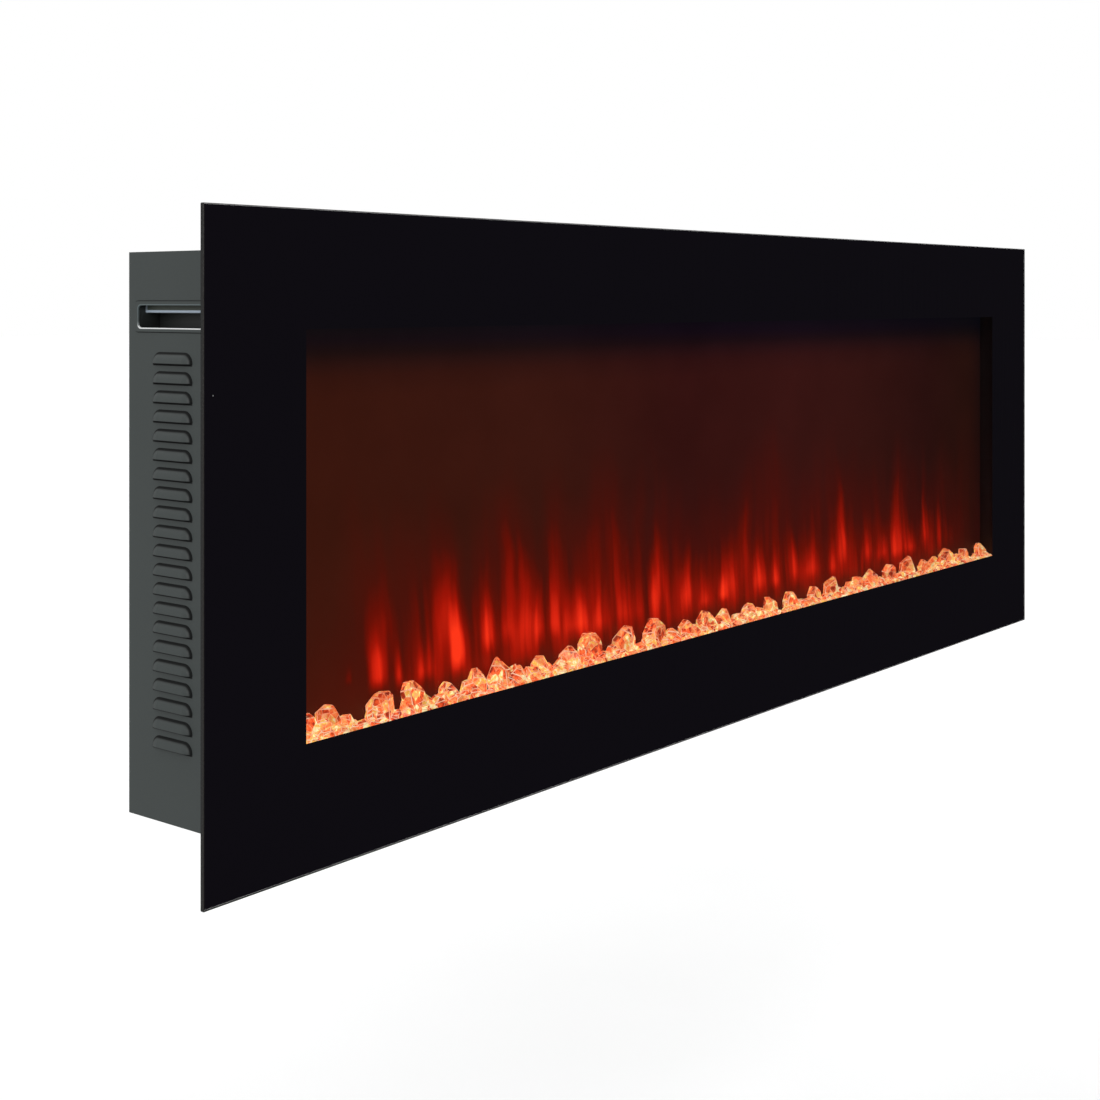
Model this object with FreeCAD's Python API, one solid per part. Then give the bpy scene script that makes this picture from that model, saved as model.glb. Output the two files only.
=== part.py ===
import FreeCAD, Part
import math
import os
import random

# Wall-hung linear electric fireplace: a black-bordered glass front hung on a sheet-steel casing.
# Millimetres, +Z up, +X to the right as seen from the front, the front faces -Y.
# The origin is the centre of the wall bracket's hole pattern, on the wall plane y = 0.
# Two helper coordinates are used throughout: n is the distance behind the glass's front face,
# and h is the height above the glass's bottom edge.

Vec = FreeCAD.Vector
X_AXIS = Vec(1, 0, 0)
Y_AXIS = Vec(0, 1, 0)
Z_AXIS = Vec(0, 0, 1)

# ---- driving dimensions ----
GLASS_W = 1524.0                 # 60 inch nominal width
GLASS_H = 540.0
GLASS_T = 4.0
GLASS_EDGE = 0.6                 # polished chamfer
DEPTH = 160.0                    # glass front face to casing back
WALL_GAP = 3.0                   # casing back to wall
BRACKET_H = 400.0                # wall bracket centre above the glass bottom
CASE_W = 1418.0
CASE_H = 472.0
SHEET = 1.2                      # casing sheet thickness
CASE_FRONT_N = 6.0               # front edge of the casing
FLANGE = 12.0                    # folded edges of the casing sheets
SCREW_INSET = 7.0                # rear screws from the casing's edges
SCREW_R, SCREW_HEAD_R = 1.5, 3.0
SCREW_HEAD_T = 1.6
SCREW_LENGTH = 7.0
CROSS_ARM, CROSS_W, CROSS_DEEP = 2.0, 0.8, 0.7
FLANGE_HOLE_R, PANEL_HOLE_R = 1.6, 1.7
HOLE_THROUGH = 4.0               # length of the holes' cutters

PRINT_T = 0.3                    # black ceramic print on the glass back
WINDOW_SIDE = 108.0              # printed margin, left and right
WINDOW_BOTTOM = 106.0
WINDOW_TOP = 98.0
IR_INSET = 11.3                  # infrared dot from the glass's left edge
IR_H = 392.4
IR_R = 1.3

HANGER_X = (-450.0, 0.0, 450.0)
HANGER_T = 1.5
HANGER_HALF, HOOK_PLATE_HALF = 20.0, 25.0
HOOK_PLATE_N0, HOOK_PLATE_N1 = 10.0, 30.0
HANGER_RISE = 15.0               # underside of the hangers' arms above the casing
HANGER_N1 = 15.5                 # rear of the hangers' fingers
PAD_R = 6.0
PAD_SIDE_H = (70.0, 250.0, 470.0)
PAD_BOTTOM_X = (-350.0, 350.0)

LOUVRE_COUNT = 21
LOUVRE_W = 51.0
LOUVRE_H = 9.6
LOUVRE_OUT = 4.2                 # how far a hood stands out
LOUVRE_SHELL = 1.0               # sheet thickness left in a hood
LOUVRE_N = 103.0                 # centre of the column
LOUVRE_TOP_H = 418.0             # centre height of the top louvre
LOUVRE_PITCH = 15.87

GRIP_N0, GRIP_N1 = 52.0, 147.0   # hand-hold opening
GRIP_H0, GRIP_H1 = 442.6, 461.4
GRIP_R = 3.5
GRIP_BORDER = 6.4                # embossed border round the opening, sides
GRIP_BORDER_V = 3.9              # and above and below it
GRIP_BORDER_R = 6.0
GRIP_RAISE = 1.0
GRIP_EDGE = 0.6                  # bevel round the border's face
GRIP_DEPTH = 22.0
GRIP_WALL = 2.0                  # moulded walls of the pocket
GRIP_LIP_BACK = 7.0              # finger lip behind the panel's outer face
GRIP_LIP_H = 454.7               # lower edge of the finger lip
GRIP_ROLL_R = 1.5                # rolled lower edge of the lip
GRIP_ROOM_H = 476.0              # top of the space behind the lip

HOOK_X = 350.0
HOOK_W = 30.0
HOLE_X = 800.0                   # wall screw spacing
HOLE_Z = 30.0
HOLE_R = 3.0
BRACKET_T = 1.5
BRACKET_W, BRACKET_TALL = 900.0, 50.0
HOOK_SEAT = 3.0                  # height of the hooks' seat above the origin
HOOK_REACH = 9.0                 # front of the hooks from the wall
HOOK_RISE = 11.0
HOOK_BLANK = 15.0                # height of the opening each hook is folded out of
UNHOOK = 12.0                    # lift that frees the casing from the wall hooks
SLOT_SPARE = 2.0                 # side play of the hooks in the rear panel's slots
BUMPER_X, BUMPER_H, BUMPER_R = 640.0, 60.0, 7.0

SCREEN_N = 40.0                  # flame screen front face
SCREEN_T = 3.0
SCREEN_HALF = 692.0
SCREEN_H0, SCREEN_H1 = 86.0, 470.0
LINER_X = 694.0
LINER_N0 = 8.0
LINER_LOW_N1 = 60.0              # the liners reach further back below the hand-holds
LINER_N1 = 49.4                  # rear edge of the liners, short of the hand-hold pockets
LINER_H1 = 472.0
CLIP_N1 = SCREEN_N + SCREEN_T + SHEET
CLIP_TALL = 16.0
CLIP_LEG = 12.0
CLIP_H = (110.0, 270.0, 430.0)
TRAY_N0, TRAY_N1 = 9.0, 38.8
TRAY_H0, TRAY_H1 = 84.0, 101.0
LEDGE = 2.0
DIFFUSER_H = 95.2
DIFFUSER_T = 3.0

CRYSTAL_PITCH = 21.0
CRYSTAL_WIDTHS = (10.6, 12.0)
CRYSTAL_ROWS = ((17.2, 20.0), (29.6, 26.0))     # depth and height of each row

BOARD_T = 1.6                    # circuit boards
LED_SIZE, LED_T = 5.0, 1.4
EMBER_LED_N0, EMBER_LED_N1, EMBER_LED_HALF = 15.0, 33.0, 684.0
FLAME_LED_N0, FLAME_LED_N1, FLAME_LED_HALF = 70.0, 92.0, 640.0

CUTOUT_N = 56.0
SHELF_H = 88.4                   # underside of the flame lamps' shelf
SHELF_HALF, SHELF_N1 = 646.0, 94.0
PLATE_H1 = 440.0                 # top of the cutout plate
PLATE_HALF = LINER_X - 0.2
LEAF_COUNT = 26
LEAF_PITCH = 50.0
LEAF_H0 = 112.0
LEAF_WIDTHS, LEAF_HEIGHTS = (14.0, 22.0), (90.0, 190.0)
SPINDLE_N = 82.0
SPINDLE_H = 118.0
SPINDLE_R = 3.0
SPINDLE_X0, SPINDLE_X1 = -668.0, 640.0
REFLECTOR_R = 13.0
REFLECTOR_COUNT = 30
REFLECTOR_PITCH = 42.0
REFLECTOR_L = 26.0
WING_T = 0.6
REFLECTOR_TURN = 47.0            # degrees from one reflector to the next
MOTOR_SHAFT_R = 2.0
MOTOR_R, MOTOR_L = 24.0, 18.0
MOTOR_BOSS_R = 6.0
MOTOR_EAR = 7.0                  # reach of the mounting ears past the can
MOTOR_X0 = 656.0                 # front face of the spindle motor
COUPLING_R = 5.5
MID_BEARING_X = 220.0
END_BEARING_X = -662.0
RUNNING = 0.05                   # radial clearance of a running fit
BUSH_R = 5.0
ARM_T = 1.5                      # sheet of the bearing arms and the motor bracket
ARM_FOOT = 14.0
ARM_N0, ARM_N1 = 96.0, 104.0
ARM_NECK_H = 104.0

FAN_N = 124.0
FAN_H = 92.0
FAN_R = 20.0
FAN_HALF = 146.0                 # half length of the impeller
HOUSING_R = 24.0
HOUSING_HALF = 152.0
HOUSING_T = 1.0
BLADE_COUNT = 20
BLADE_R0, BLADE_R1 = 14.5, 19.6
BLADE_T, BLADE_LEAN = 0.8, 28.0
DISC_T = 1.5
HUB_R, HUB_L = 5.0, 6.0
HEATER_HALF = 140.0
HEATER_H0, HEATER_H1 = 44.0, 56.0
FIN_T, FIN_PITCH = 0.8, 10.0
FIN_COUNT = 28
CUTOUT_X, CUTOUT_H = 80.0, 52.0  # the safety thermostat
CUTOUT_R, CUTOUT_DEEP = 8.0, 5.0
DUCT_H1 = 64.0                   # joint of heater duct and blower housing
OUTLET_HALF = 150.0              # warm-air outlet in the casing floor
OUTLET_N0, OUTLET_N1 = 101.0, 147.0
GRILLE_T, GRILLE_BAR = 1.5, 1.5
GRILLE_RIM, GRILLE_PITCH = 9.0, 7.0
GRILLE_RIBS = (-75.0, 0.0, 75.0)
BLOWER_SHAFT_R, BLOWER_BUSH_R = 2.5, 6.0
STACK_GAP = 6.0                  # blower motor's laminated frame off the housing
STACK_T, STACK_HALF = 16.0, 22.0
COIL_HALF = 12.0

BOARD_X0, BOARD_X1 = 420.0, 580.0
BOARD_H0, BOARD_H1 = 190.0, 300.0
BOARD_N = 144.0
BOARD_INSET = 8.0                # mounting holes from the board's edges
BOARD_HOLE_R, POST_R = 1.6, 4.0
TRANSFORMER = (440.0, 482.0, 215.0, 250.0)      # left, right, bottom and top
RELAY_X0, RELAY_X1, RELAY_H = 500.0, 520.0, (208.0, 230.0, 252.0)
SOCKET_X0, SOCKET_X1, SOCKET_H = 540.0, 562.0, (206.0, 224.0, 242.0)
CAPACITORS = ((450.0, 275.0), (470.0, 275.0), (545.0, 272.0))
CAPACITOR_R, CAPACITOR_L = 7.0, 22.0
TERMINAL_X = (583.0, 593.0, 603.0)
LEAD_R, LEAD_BEND = 1.8, 6.0

BEZEL_N0, BEZEL_N1 = 60.0, 148.0
BEZEL_H0, BEZEL_H1 = 44.0, 84.0
BEZEL_T = 2.5
CONTROL_H = 64.0
ROCKER_N = 130.0
BUTTON_N = {"heat_button": 74.0, "flame_button": 90.0, "timer_button": 106.0}
BUTTON_R = 5.0
BUTTON_PROUD = 1.6
BUTTON_TRAVEL_GAP = 1.1          # rest gap between a stem and its switch, for 1 mm of travel
CONTROL_BOARD_X = 690.0
SWITCH_X = 696.4                 # top of the board switches' plungers
CONTROL_BOARD_N0, CONTROL_BOARD_N1 = 64.0, 116.0
CONTROL_BOARD_HALF = 16.0        # half height
CONTROL_POST_INSET, CONTROL_POST_R = 3.0, 2.5
ROCKER_HALF_N, ROCKER_HALF_H = 7.6, 11.0        # the switch's opening
ROCKER_PLAY = 0.2                # all round the switch's frame in the opening
ROCKER_WALL = 1.0
ROCKER_TILT = 9.0

GLAND_X = 640.0
GLAND_N = 132.0
GLAND_BORE_R = 4.0
GLAND_THREAD_R = 7.5
GLAND_HEX_R = 11.0
GLAND_CAP_R = 9.0

# ---- values worked out from them ----
Y_FRONT = -WALL_GAP - DEPTH
GX = GLASS_W / 2
CX = CASE_W / 2
CASE_H0 = (GLASS_H - CASE_H) / 2
CASE_H1 = CASE_H0 + CASE_H
CASE_N1 = DEPTH - SHEET          # inner face of the rear panel
CXI = CX - SHEET                 # inner face of a side panel
WINDOW_HALF = GX - WINDOW_SIDE
WINDOW_H0 = WINDOW_BOTTOM
WINDOW_H1 = GLASS_H - WINDOW_TOP
BX = CX + BEZEL_T                # outer face of the control bezel
ROCKER_PIVOT_X = BX - 1.0


def point(x, n, h):
    """A point from its x, depth and height."""
    return Vec(x, Y_FRONT + n, h - BRACKET_H)


def block(x0, x1, n0, n1, h0, h1):
    """A box between two corners."""
    return Part.makeBox(x1 - x0, n1 - n0, h1 - h0, point(x0, n0, h0))


def rod(x, n, h, axis, radius, length):
    """A cylinder that starts at a point and runs along an axis."""
    return Part.makeCylinder(radius, length, point(x, n, h), axis)


def ring(x, n, h, axis, outer, inner, length):
    """A tube that starts at a point and runs along an axis."""
    return rod(x, n, h, axis, outer, length).cut(rod(x, n, h, axis, inner, length))


def fused(shapes):
    """All shapes joined into one solid."""
    return shapes[0].multiFuse(shapes[1:]).removeSplitter()


def group(shapes):
    """Separate solids kept in one node."""
    return Part.makeCompound(shapes)


def mirrored(shape):
    """The same piece for the right-hand side."""
    return shape.mirror(Vec(0, 0, 0), X_AXIS)


def along_x(solid):
    """The edges of a box that run along X."""
    return [e for e in solid.Edges if abs(e.tangentAt(e.FirstParameter).x) > 0.9]


def rounded_block(x0, x1, n0, n1, h0, h1, radius):
    """A box whose edges along X are rounded."""
    solid = block(x0, x1, n0, n1, h0, h1)
    return solid.makeFillet(radius, along_x(solid))


# ---- wall bracket and rear panel ----

def wall_bracket():
    """Strip that is screwed to the wall, with two upturned hooks folded out of it."""
    plate = Part.makeBox(BRACKET_W, BRACKET_T, BRACKET_TALL,
                         Vec(-BRACKET_W / 2, -BRACKET_T, -BRACKET_TALL / 2))
    for x in (-HOLE_X / 2, HOLE_X / 2):
        for z in (-HOLE_Z / 2, HOLE_Z / 2):
            plate = plate.cut(Part.makeCylinder(HOLE_R, BRACKET_T, Vec(x, 0, z), -Y_AXIS))
    for x in (-HOOK_X, HOOK_X):
        left = x - HOOK_W / 2
        blank = Vec(left, -BRACKET_T, HOOK_SEAT + BRACKET_T)
        plate = plate.cut(Part.makeBox(HOOK_W, BRACKET_T, HOOK_BLANK, blank))
        front = Vec(left, -HOOK_REACH, HOOK_SEAT)
        arm = Part.makeBox(HOOK_W, HOOK_REACH - BRACKET_T, BRACKET_T, front)
        upright = Part.makeBox(HOOK_W, BRACKET_T, HOOK_RISE, front)
        plate = plate.fuse([arm, upright])
    return plate.removeSplitter()


def screw_places():
    """Places of the screws that hold the rear panel, as (x, h)."""
    sides = [(s * (CX - SCREW_INSET), h) for s in (-1, 1) for h in range(70, 471, 100)]
    edges = [(x, h) for x in range(-600, 601, 400) for h in (CASE_H0 + SCREW_INSET, CASE_H1 - SCREW_INSET)]
    return sides + edges


def drilled(sheet, radius, length):
    """A rear sheet or flange with the screw holes through it."""
    holes = [rod(x, DEPTH, h, -Y_AXIS, radius, length) for x, h in screw_places()]
    return sheet.cut(Part.makeCompound(holes))


def rear_panel():
    """Flat back of the casing, hung on the wall hooks by two slots."""
    panel = block(-CX, CX, CASE_N1, DEPTH, CASE_H0, CASE_H1)
    for x in (-HOOK_X, HOOK_X):
        low = HOOK_SEAT - UNHOOK - 1.5
        high = HOOK_SEAT + BRACKET_T + 0.2
        width = HOOK_W + 2 * SLOT_SPARE
        slot = Part.makeBox(width, HOLE_THROUGH, high - low, Vec(x - width / 2, -2 * WALL_GAP, low))
        panel = panel.cut(slot)
    return drilled(panel, PANEL_HOLE_R, HOLE_THROUGH)


def casing_screws():
    """Pan-head screws through the rear panel into the folded flanges."""
    screws = []
    for x, h in screw_places():
        head = rod(x, DEPTH, h, Y_AXIS, SCREW_HEAD_R, SCREW_HEAD_T)
        head = head.makeFillet(0.7, [head.Edges[0]])
        n0, n1 = DEPTH + SCREW_HEAD_T - CROSS_DEEP, DEPTH + 2
        half = CROSS_W / 2
        cross = block(x - CROSS_ARM, x + CROSS_ARM, n0, n1, h - half, h + half)
        cross = cross.fuse(block(x - half, x + half, n0, n1, h - CROSS_ARM, h + CROSS_ARM))
        shank = rod(x, DEPTH, h, -Y_AXIS, SCREW_R, SCREW_LENGTH)
        screws.append(head.cut(cross).fuse(shank))
    return group(screws)


def wall_bumpers():
    """Rubber feet that keep the casing's lower back off the wall."""
    return group([rod(s * BUMPER_X, DEPTH, BUMPER_H, Y_AXIS, BUMPER_R, WALL_GAP - 0.2) for s in (-1, 1)])


# ---- casing sheets ----

def tray_sheet(h_web, h_flange):
    """Top or bottom sheet: a web with folded front and rear flanges."""
    web = block(-CXI, CXI, CASE_FRONT_N, CASE_N1, *h_web)
    front = block(-CXI, CXI, CASE_FRONT_N, CASE_FRONT_N + SHEET, *h_flange)
    rear = block(-CXI, CXI, CASE_N1 - SHEET, CASE_N1, *h_flange)
    return drilled(fused([web, front, rear]), FLANGE_HOLE_R, HOLE_THROUGH)


def top_panel():
    """Top sheet of the casing."""
    return tray_sheet((CASE_H1 - SHEET, CASE_H1), (CASE_H1 - FLANGE, CASE_H1 - SHEET))


def bottom_panel():
    """Bottom sheet with the warm-air outlet and the mains entry."""
    sheet = tray_sheet((CASE_H0, CASE_H0 + SHEET), (CASE_H0 + SHEET, CASE_H0 + FLANGE))
    outlet = block(-OUTLET_HALF, OUTLET_HALF, OUTLET_N0, OUTLET_N1, CASE_H0 - 1, CASE_H0 + 3)
    entry = rod(GLAND_X, GLAND_N, CASE_H0 - 1, Z_AXIS, GLAND_THREAD_R + 0.1, HOLE_THROUGH)
    return sheet.cut(outlet.fuse(entry))


def louvre_bulge(shell):
    """Half-moon bulge with a flat bottom, inset by the shell: cylinder middle, ball ends.

    It is drawn on the plane x = 0 and stands out toward -X; it also fills the sheet behind it.
    """
    radius = (LOUVRE_H ** 2 + LOUVRE_OUT ** 2) / (2 * LOUVRE_OUT)
    centre = radius - LOUVRE_OUT
    middle = LOUVRE_W / 2 - LOUVRE_H
    reach = radius - shell
    bar = Part.makeCylinder(reach, 2 * middle, Vec(centre, -middle, 0), Y_AXIS)
    balls = [Part.makeSphere(reach, Vec(centre, s * middle, 0)) for s in (-1, 1)]
    keep = Part.makeBox(LOUVRE_OUT + SHEET, LOUVRE_W + 4, LOUVRE_H + 2,
                        Vec(-LOUVRE_OUT, -LOUVRE_W / 2 - 2, 0))
    return bar.fuse(balls).common(keep)


def louvre_places():
    """Places of the left side's louvres, from the top down."""
    top = LOUVRE_TOP_H - LOUVRE_H / 2
    return [point(-CX, LOUVRE_N, top - i * LOUVRE_PITCH) for i in range(LOUVRE_COUNT)]


def side_sheet():
    """Left side sheet with its flanges, louvres, screw holes and embossed hand-hold."""
    web = block(-CX, -CXI, CASE_FRONT_N, CASE_N1, CASE_H0, CASE_H1)
    low, high = CASE_H0 + FLANGE, CASE_H1 - FLANGE
    front = block(-CXI, -CX + FLANGE, CASE_FRONT_N, CASE_FRONT_N + SHEET, low, high)
    rear = block(-CXI, -CX + FLANGE + 2, CASE_N1 - SHEET, CASE_N1, low, high)
    border = rounded_block(-CX - GRIP_RAISE, -CX, GRIP_N0 - GRIP_BORDER, GRIP_N1 + GRIP_BORDER,
                           GRIP_H0 - GRIP_BORDER_V, GRIP_H1 + GRIP_BORDER_V, GRIP_BORDER_R)
    face = [e for e in border.Edges if abs(e.CenterOfMass.x + CX + GRIP_RAISE) < 0.01]
    border = border.makeChamfer(GRIP_EDGE, face)
    opening = rounded_block(-CX - 5, -CXI + 5, GRIP_N0, GRIP_N1, GRIP_H0, GRIP_H1, GRIP_R)
    hood = louvre_bulge(0.0)
    room = louvre_bulge(LOUVRE_SHELL)
    hoods = [hood.translated(place) for place in louvre_places()]
    rooms = [room.translated(place) for place in louvre_places()]
    sheet = web.multiFuse([front, rear, border] + hoods)
    sheet = sheet.cut(Part.makeCompound([opening] + rooms))
    return drilled(sheet, FLANGE_HOLE_R, HOLE_THROUGH)


def rocker_window():
    """Cutter for the rocker switch's opening in the right side."""
    return block(CXI - 3, BX + 3, ROCKER_N - ROCKER_HALF_N, ROCKER_N + ROCKER_HALF_N,
                 CONTROL_H - ROCKER_HALF_H, CONTROL_H + ROCKER_HALF_H)


def side_panels():
    """Left and right side sheets; the right one also carries the control openings."""
    left = side_sheet()
    right = mirrored(left)
    cuts = [rocker_window()]
    cuts += [rod(CXI - 3, n, CONTROL_H, X_AXIS, BUTTON_R + 0.6, 8) for n in BUTTON_N.values()]
    return left, right.cut(Part.makeCompound(cuts))


def hand_hold():
    """Pressed pocket behind the left opening, with a set-back finger lip."""
    n0, n1 = GRIP_N0 - GRIP_WALL, GRIP_N1 + GRIP_WALL
    h0, h1 = GRIP_H0 - GRIP_WALL, GRIP_ROOM_H
    deep = -CXI + GRIP_DEPTH
    cup = block(-CXI, deep, n0, n1, h0, h1)
    cup = cup.cut(block(-CXI, deep - SHEET, GRIP_N0, GRIP_N1, GRIP_H0, h1 - GRIP_WALL))
    upper = block(-CXI, -CXI + SHEET, n0, n1, GRIP_H1, h1)
    lip_x = -CX + GRIP_LIP_BACK
    lip = block(lip_x, lip_x + SHEET, n0, n1, GRIP_LIP_H + GRIP_ROLL_R, h1)
    roll = rod(lip_x + GRIP_ROLL_R, n0, GRIP_LIP_H + GRIP_ROLL_R, Y_AXIS, GRIP_ROLL_R, n1 - n0)
    return fused([cup, upper, lip, roll])


def outlet_grille():
    """Bar grille under the warm-air outlet."""
    low = CASE_H0 - GRILLE_T
    half, n0, n1 = OUTLET_HALF - 1, OUTLET_N0 + 1, OUTLET_N1 - 1
    rim = GRILLE_RIM
    frame = block(-half - rim, half + rim, n0 - rim, n1 + rim, low, CASE_H0)
    frame = frame.cut(block(-half, half, n0, n1, low - 1, CASE_H0 + 1))
    starts = [n0 + 5 + i * GRILLE_PITCH for i in range(6)]
    bars = [block(-half, half, n, n + GRILLE_BAR, low, CASE_H0) for n in starts]
    ribs = [block(x - 1, x + 1, n0, n1, low, CASE_H0) for x in GRILLE_RIBS]
    return fused([frame] + bars + ribs)


def glass_hook_brackets():
    """Upstanding hook plates on the casing's top, on which the glass hangs."""
    plates = []
    for x in HANGER_X:
        left, right = x - HOOK_PLATE_HALF, x + HOOK_PLATE_HALF
        front, rear = HOOK_PLATE_N0, HOOK_PLATE_N1
        foot = block(left, right, front, rear, CASE_H1, CASE_H1 + HANGER_T)
        upstand = block(left, right, front, front + HANGER_T, CASE_H1, CASE_H1 + HANGER_RISE - 0.2)
        plates.append(foot.fuse(upstand).removeSplitter())
    return group(plates)


# ---- glass front ----

def front_glass():
    """Tempered pane with polished edges."""
    pane = block(-GX, GX, 0, GLASS_T, 0, GLASS_H)
    return pane.makeChamfer(GLASS_EDGE, pane.Edges)


def glass_print():
    """Black border printed on the back of the pane, open at the window and the sensor dot."""
    inset = GLASS_EDGE + 0.1
    back = GLASS_T + PRINT_T
    sheet = block(-GX + inset, GX - inset, GLASS_T, back, inset, GLASS_H - inset)
    window = block(-WINDOW_HALF, WINDOW_HALF, GLASS_T - 1, back + 1, WINDOW_H0, WINDOW_H1)
    dot = rod(-GX + IR_INSET, GLASS_T - 1, IR_H, Y_AXIS, IR_R, 3)
    return sheet.cut(window).cut(dot)


def ir_window():
    """Dark infrared-clear dot in the print."""
    return rod(-GX + IR_INSET, GLASS_T, IR_H, Y_AXIS, IR_R, PRINT_T)


def ir_receiver():
    """Remote-control receiver bonded behind the dot."""
    x = -GX + IR_INSET
    body = rounded_block(x - 4, x + 7, GLASS_T + PRINT_T, 11, IR_H - 6, IR_H + 6, 1.5)
    return body.cut(rod(x, GLASS_T + PRINT_T, IR_H, Y_AXIS, 1.5, 2))


def ir_lead():
    """Flat ribbon taped to the glass back, from the receiver to a contact tail."""
    back = GLASS_T + PRINT_T
    joint = -WINDOW_HALF - 16
    ribbon = block(-GX + IR_INSET + 7, joint, back, back + 0.6, IR_H - 3, IR_H + 3)
    tail = block(joint, joint + 12, back, back + 0.9, IR_H - 5, IR_H + 5)
    return fused([ribbon, tail])


def glass_hangers():
    """Folded hooks bonded to the glass back, which hang over the casing's hook plates."""
    back = GLASS_T + PRINT_T
    top = CASE_H1 + HANGER_RISE
    hooks = []
    for x in HANGER_X:
        left, right = x - HANGER_HALF, x + HANGER_HALF
        plate = block(left, right, back, back + HANGER_T, CASE_H1 + 3, GLASS_H - 4)
        arm = block(left, right, back, HANGER_N1, top, top + HANGER_T)
        finger = block(left, right, HANGER_N1 - HANGER_T, HANGER_N1, CASE_H1 + 4, top + HANGER_T)
        hooks.append(fused([plate, arm, finger]))
    return group(hooks)


def glass_pads():
    """Rubber pads on the glass back that steady it against the casing's front edge."""
    back = GLASS_T + PRINT_T
    places = [(s * (CX - FLANGE / 2), h) for s in (-1, 1) for h in PAD_SIDE_H]
    places += [(x, CASE_H0 + FLANGE / 2) for x in PAD_BOTTOM_X]
    return group([rod(x, back, h, Y_AXIS, PAD_R, 1.5) for x, h in places])


# ---- firebox ----

def flame_screen():
    """Smoked translucent screen on which the flames are thrown."""
    return block(-SCREEN_HALF, SCREEN_HALF, SCREEN_N, SCREEN_N + SCREEN_T, SCREEN_H0, SCREEN_H1)


def firebox_side_liners():
    """Black plates that close the firebox at its ends."""
    upper = block(-LINER_X - SHEET, -LINER_X, LINER_N0, LINER_N1, TRAY_H0, LINER_H1)
    lower = block(-LINER_X - SHEET, -LINER_X, LINER_N0, LINER_LOW_N1, TRAY_H0, PLATE_H1)
    left = upper.fuse(lower).removeSplitter()
    return group([left, mirrored(left)])


def firebox_top_liner():
    """Black plate that closes the firebox above the window."""
    return block(-PLATE_HALF, PLATE_HALF, LINER_N0, LINER_N1, LINER_H1, LINER_H1 + SHEET)


def screen_clips():
    """Angle clips that hold the screen's edges against the liners."""
    clips = []
    for h in CLIP_H:
        leg = block(LINER_X - CLIP_LEG, LINER_X, SCREEN_N + SCREEN_T, CLIP_N1, h, h + CLIP_TALL)
        foot = block(LINER_X - SHEET, LINER_X, CLIP_N1, LINER_N1, h, h + CLIP_TALL)
        clip = leg.fuse(foot).removeSplitter()
        clips.extend([clip, mirrored(clip)])
    return group(clips)


def ember_tray():
    """Shallow channel under the crystals, with ledges for the diffuser."""
    half = SCREEN_HALF
    floor = block(-half, half, TRAY_N0, TRAY_N1, TRAY_H0, TRAY_H0 + SHEET)
    front = block(-half, half, TRAY_N0, TRAY_N0 + SHEET, TRAY_H0, TRAY_H1)
    rear = block(-half, half, TRAY_N1 - SHEET, TRAY_N1, TRAY_H0, TRAY_H1)
    end = block(-half, -half + SHEET, TRAY_N0, TRAY_N1, TRAY_H0, TRAY_H1)
    ledges = [block(-half, half, n, n + LEDGE, DIFFUSER_H - SHEET, DIFFUSER_H)
              for n in (TRAY_N0 + SHEET, TRAY_N1 - SHEET - LEDGE)]
    return fused([floor, front, rear, end, mirrored(end)] + ledges)


def led_strip(n0, n1, h, x_half, count):
    """Board with a row of square LEDs on its top face."""
    top = h + BOARD_T
    board = block(-x_half, x_half, n0, n1, h, top)
    middle = (n0 + n1) / 2
    pitch = 2 * x_half / count
    half = LED_SIZE / 2
    chips = []
    for i in range(count):
        x = -x_half + (i + 0.5) * pitch
        chips.append(block(x - half, x + half, middle - half, middle + half, top, top + LED_T))
    return fused([board] + chips)


def ember_diffuser():
    """Frosted strip that spreads the light under the crystals."""
    gap = SHEET + 0.2
    return block(-SCREEN_HALF + gap, SCREEN_HALF - gap, TRAY_N0 + gap, TRAY_N1 - gap,
                 DIFFUSER_H, DIFFUSER_H + DIFFUSER_T)


def crystal(width, height, turn, sides):
    """One cut-glass chunk: a tapered body with a sloped crown, standing on z = 0."""
    levels = ((0.0, 0.62), (0.3 * height, 1.0), (0.72 * height, 0.86), (height, 0.3))
    rings = []
    for z, scale in levels:
        loop = []
        for i in range(sides):
            a = turn + 2 * math.pi * i / sides
            loop.append(Vec(width / 2 * scale * math.cos(a), width / 2 * scale * math.sin(a), z))
        rings.append(loop)
    wires = [Part.makePolygon(loop + loop[:1]) for loop in rings]
    return Part.makeLoft(wires, True, True)


def crystals():
    """Two rows of loose crystal chunks along the diffuser."""
    rng = random.Random(11)
    count = int((2 * SCREEN_HALF - 20) / CRYSTAL_PITCH)
    base = DIFFUSER_H + DIFFUSER_T
    chunks = []
    for n, tall in CRYSTAL_ROWS:
        for i in range(count):
            x = (i - (count - 1) / 2) * CRYSTAL_PITCH
            size = rng.uniform(*CRYSTAL_WIDTHS)
            height = tall * rng.uniform(0.85, 1.1)
            chunk = crystal(size, height, rng.uniform(0, 1), rng.choice((5, 6)))
            chunk.translate(point(x + rng.uniform(-3, 3), n, base))
            chunks.append(chunk)
    return group(chunks)


# ---- flame mechanism ----

def flame_slot(x, width, height, h0):
    """Leaf-shaped aperture: two arcs that meet at a tip above and a tip below."""
    low = point(x, CUTOUT_N - 1, h0)
    high = point(x + 0.12 * height, CUTOUT_N - 1, h0 + height)
    left = Part.Arc(low, point(x - width / 2, CUTOUT_N - 1, h0 + 0.4 * height), high)
    right = Part.Arc(high, point(x + width / 2, CUTOUT_N - 1, h0 + 0.4 * height), low)
    wire = Part.Wire([left.toShape(), right.toShape()])
    return Part.Face(wire).extrude(Y_AXIS * 4)


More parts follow.
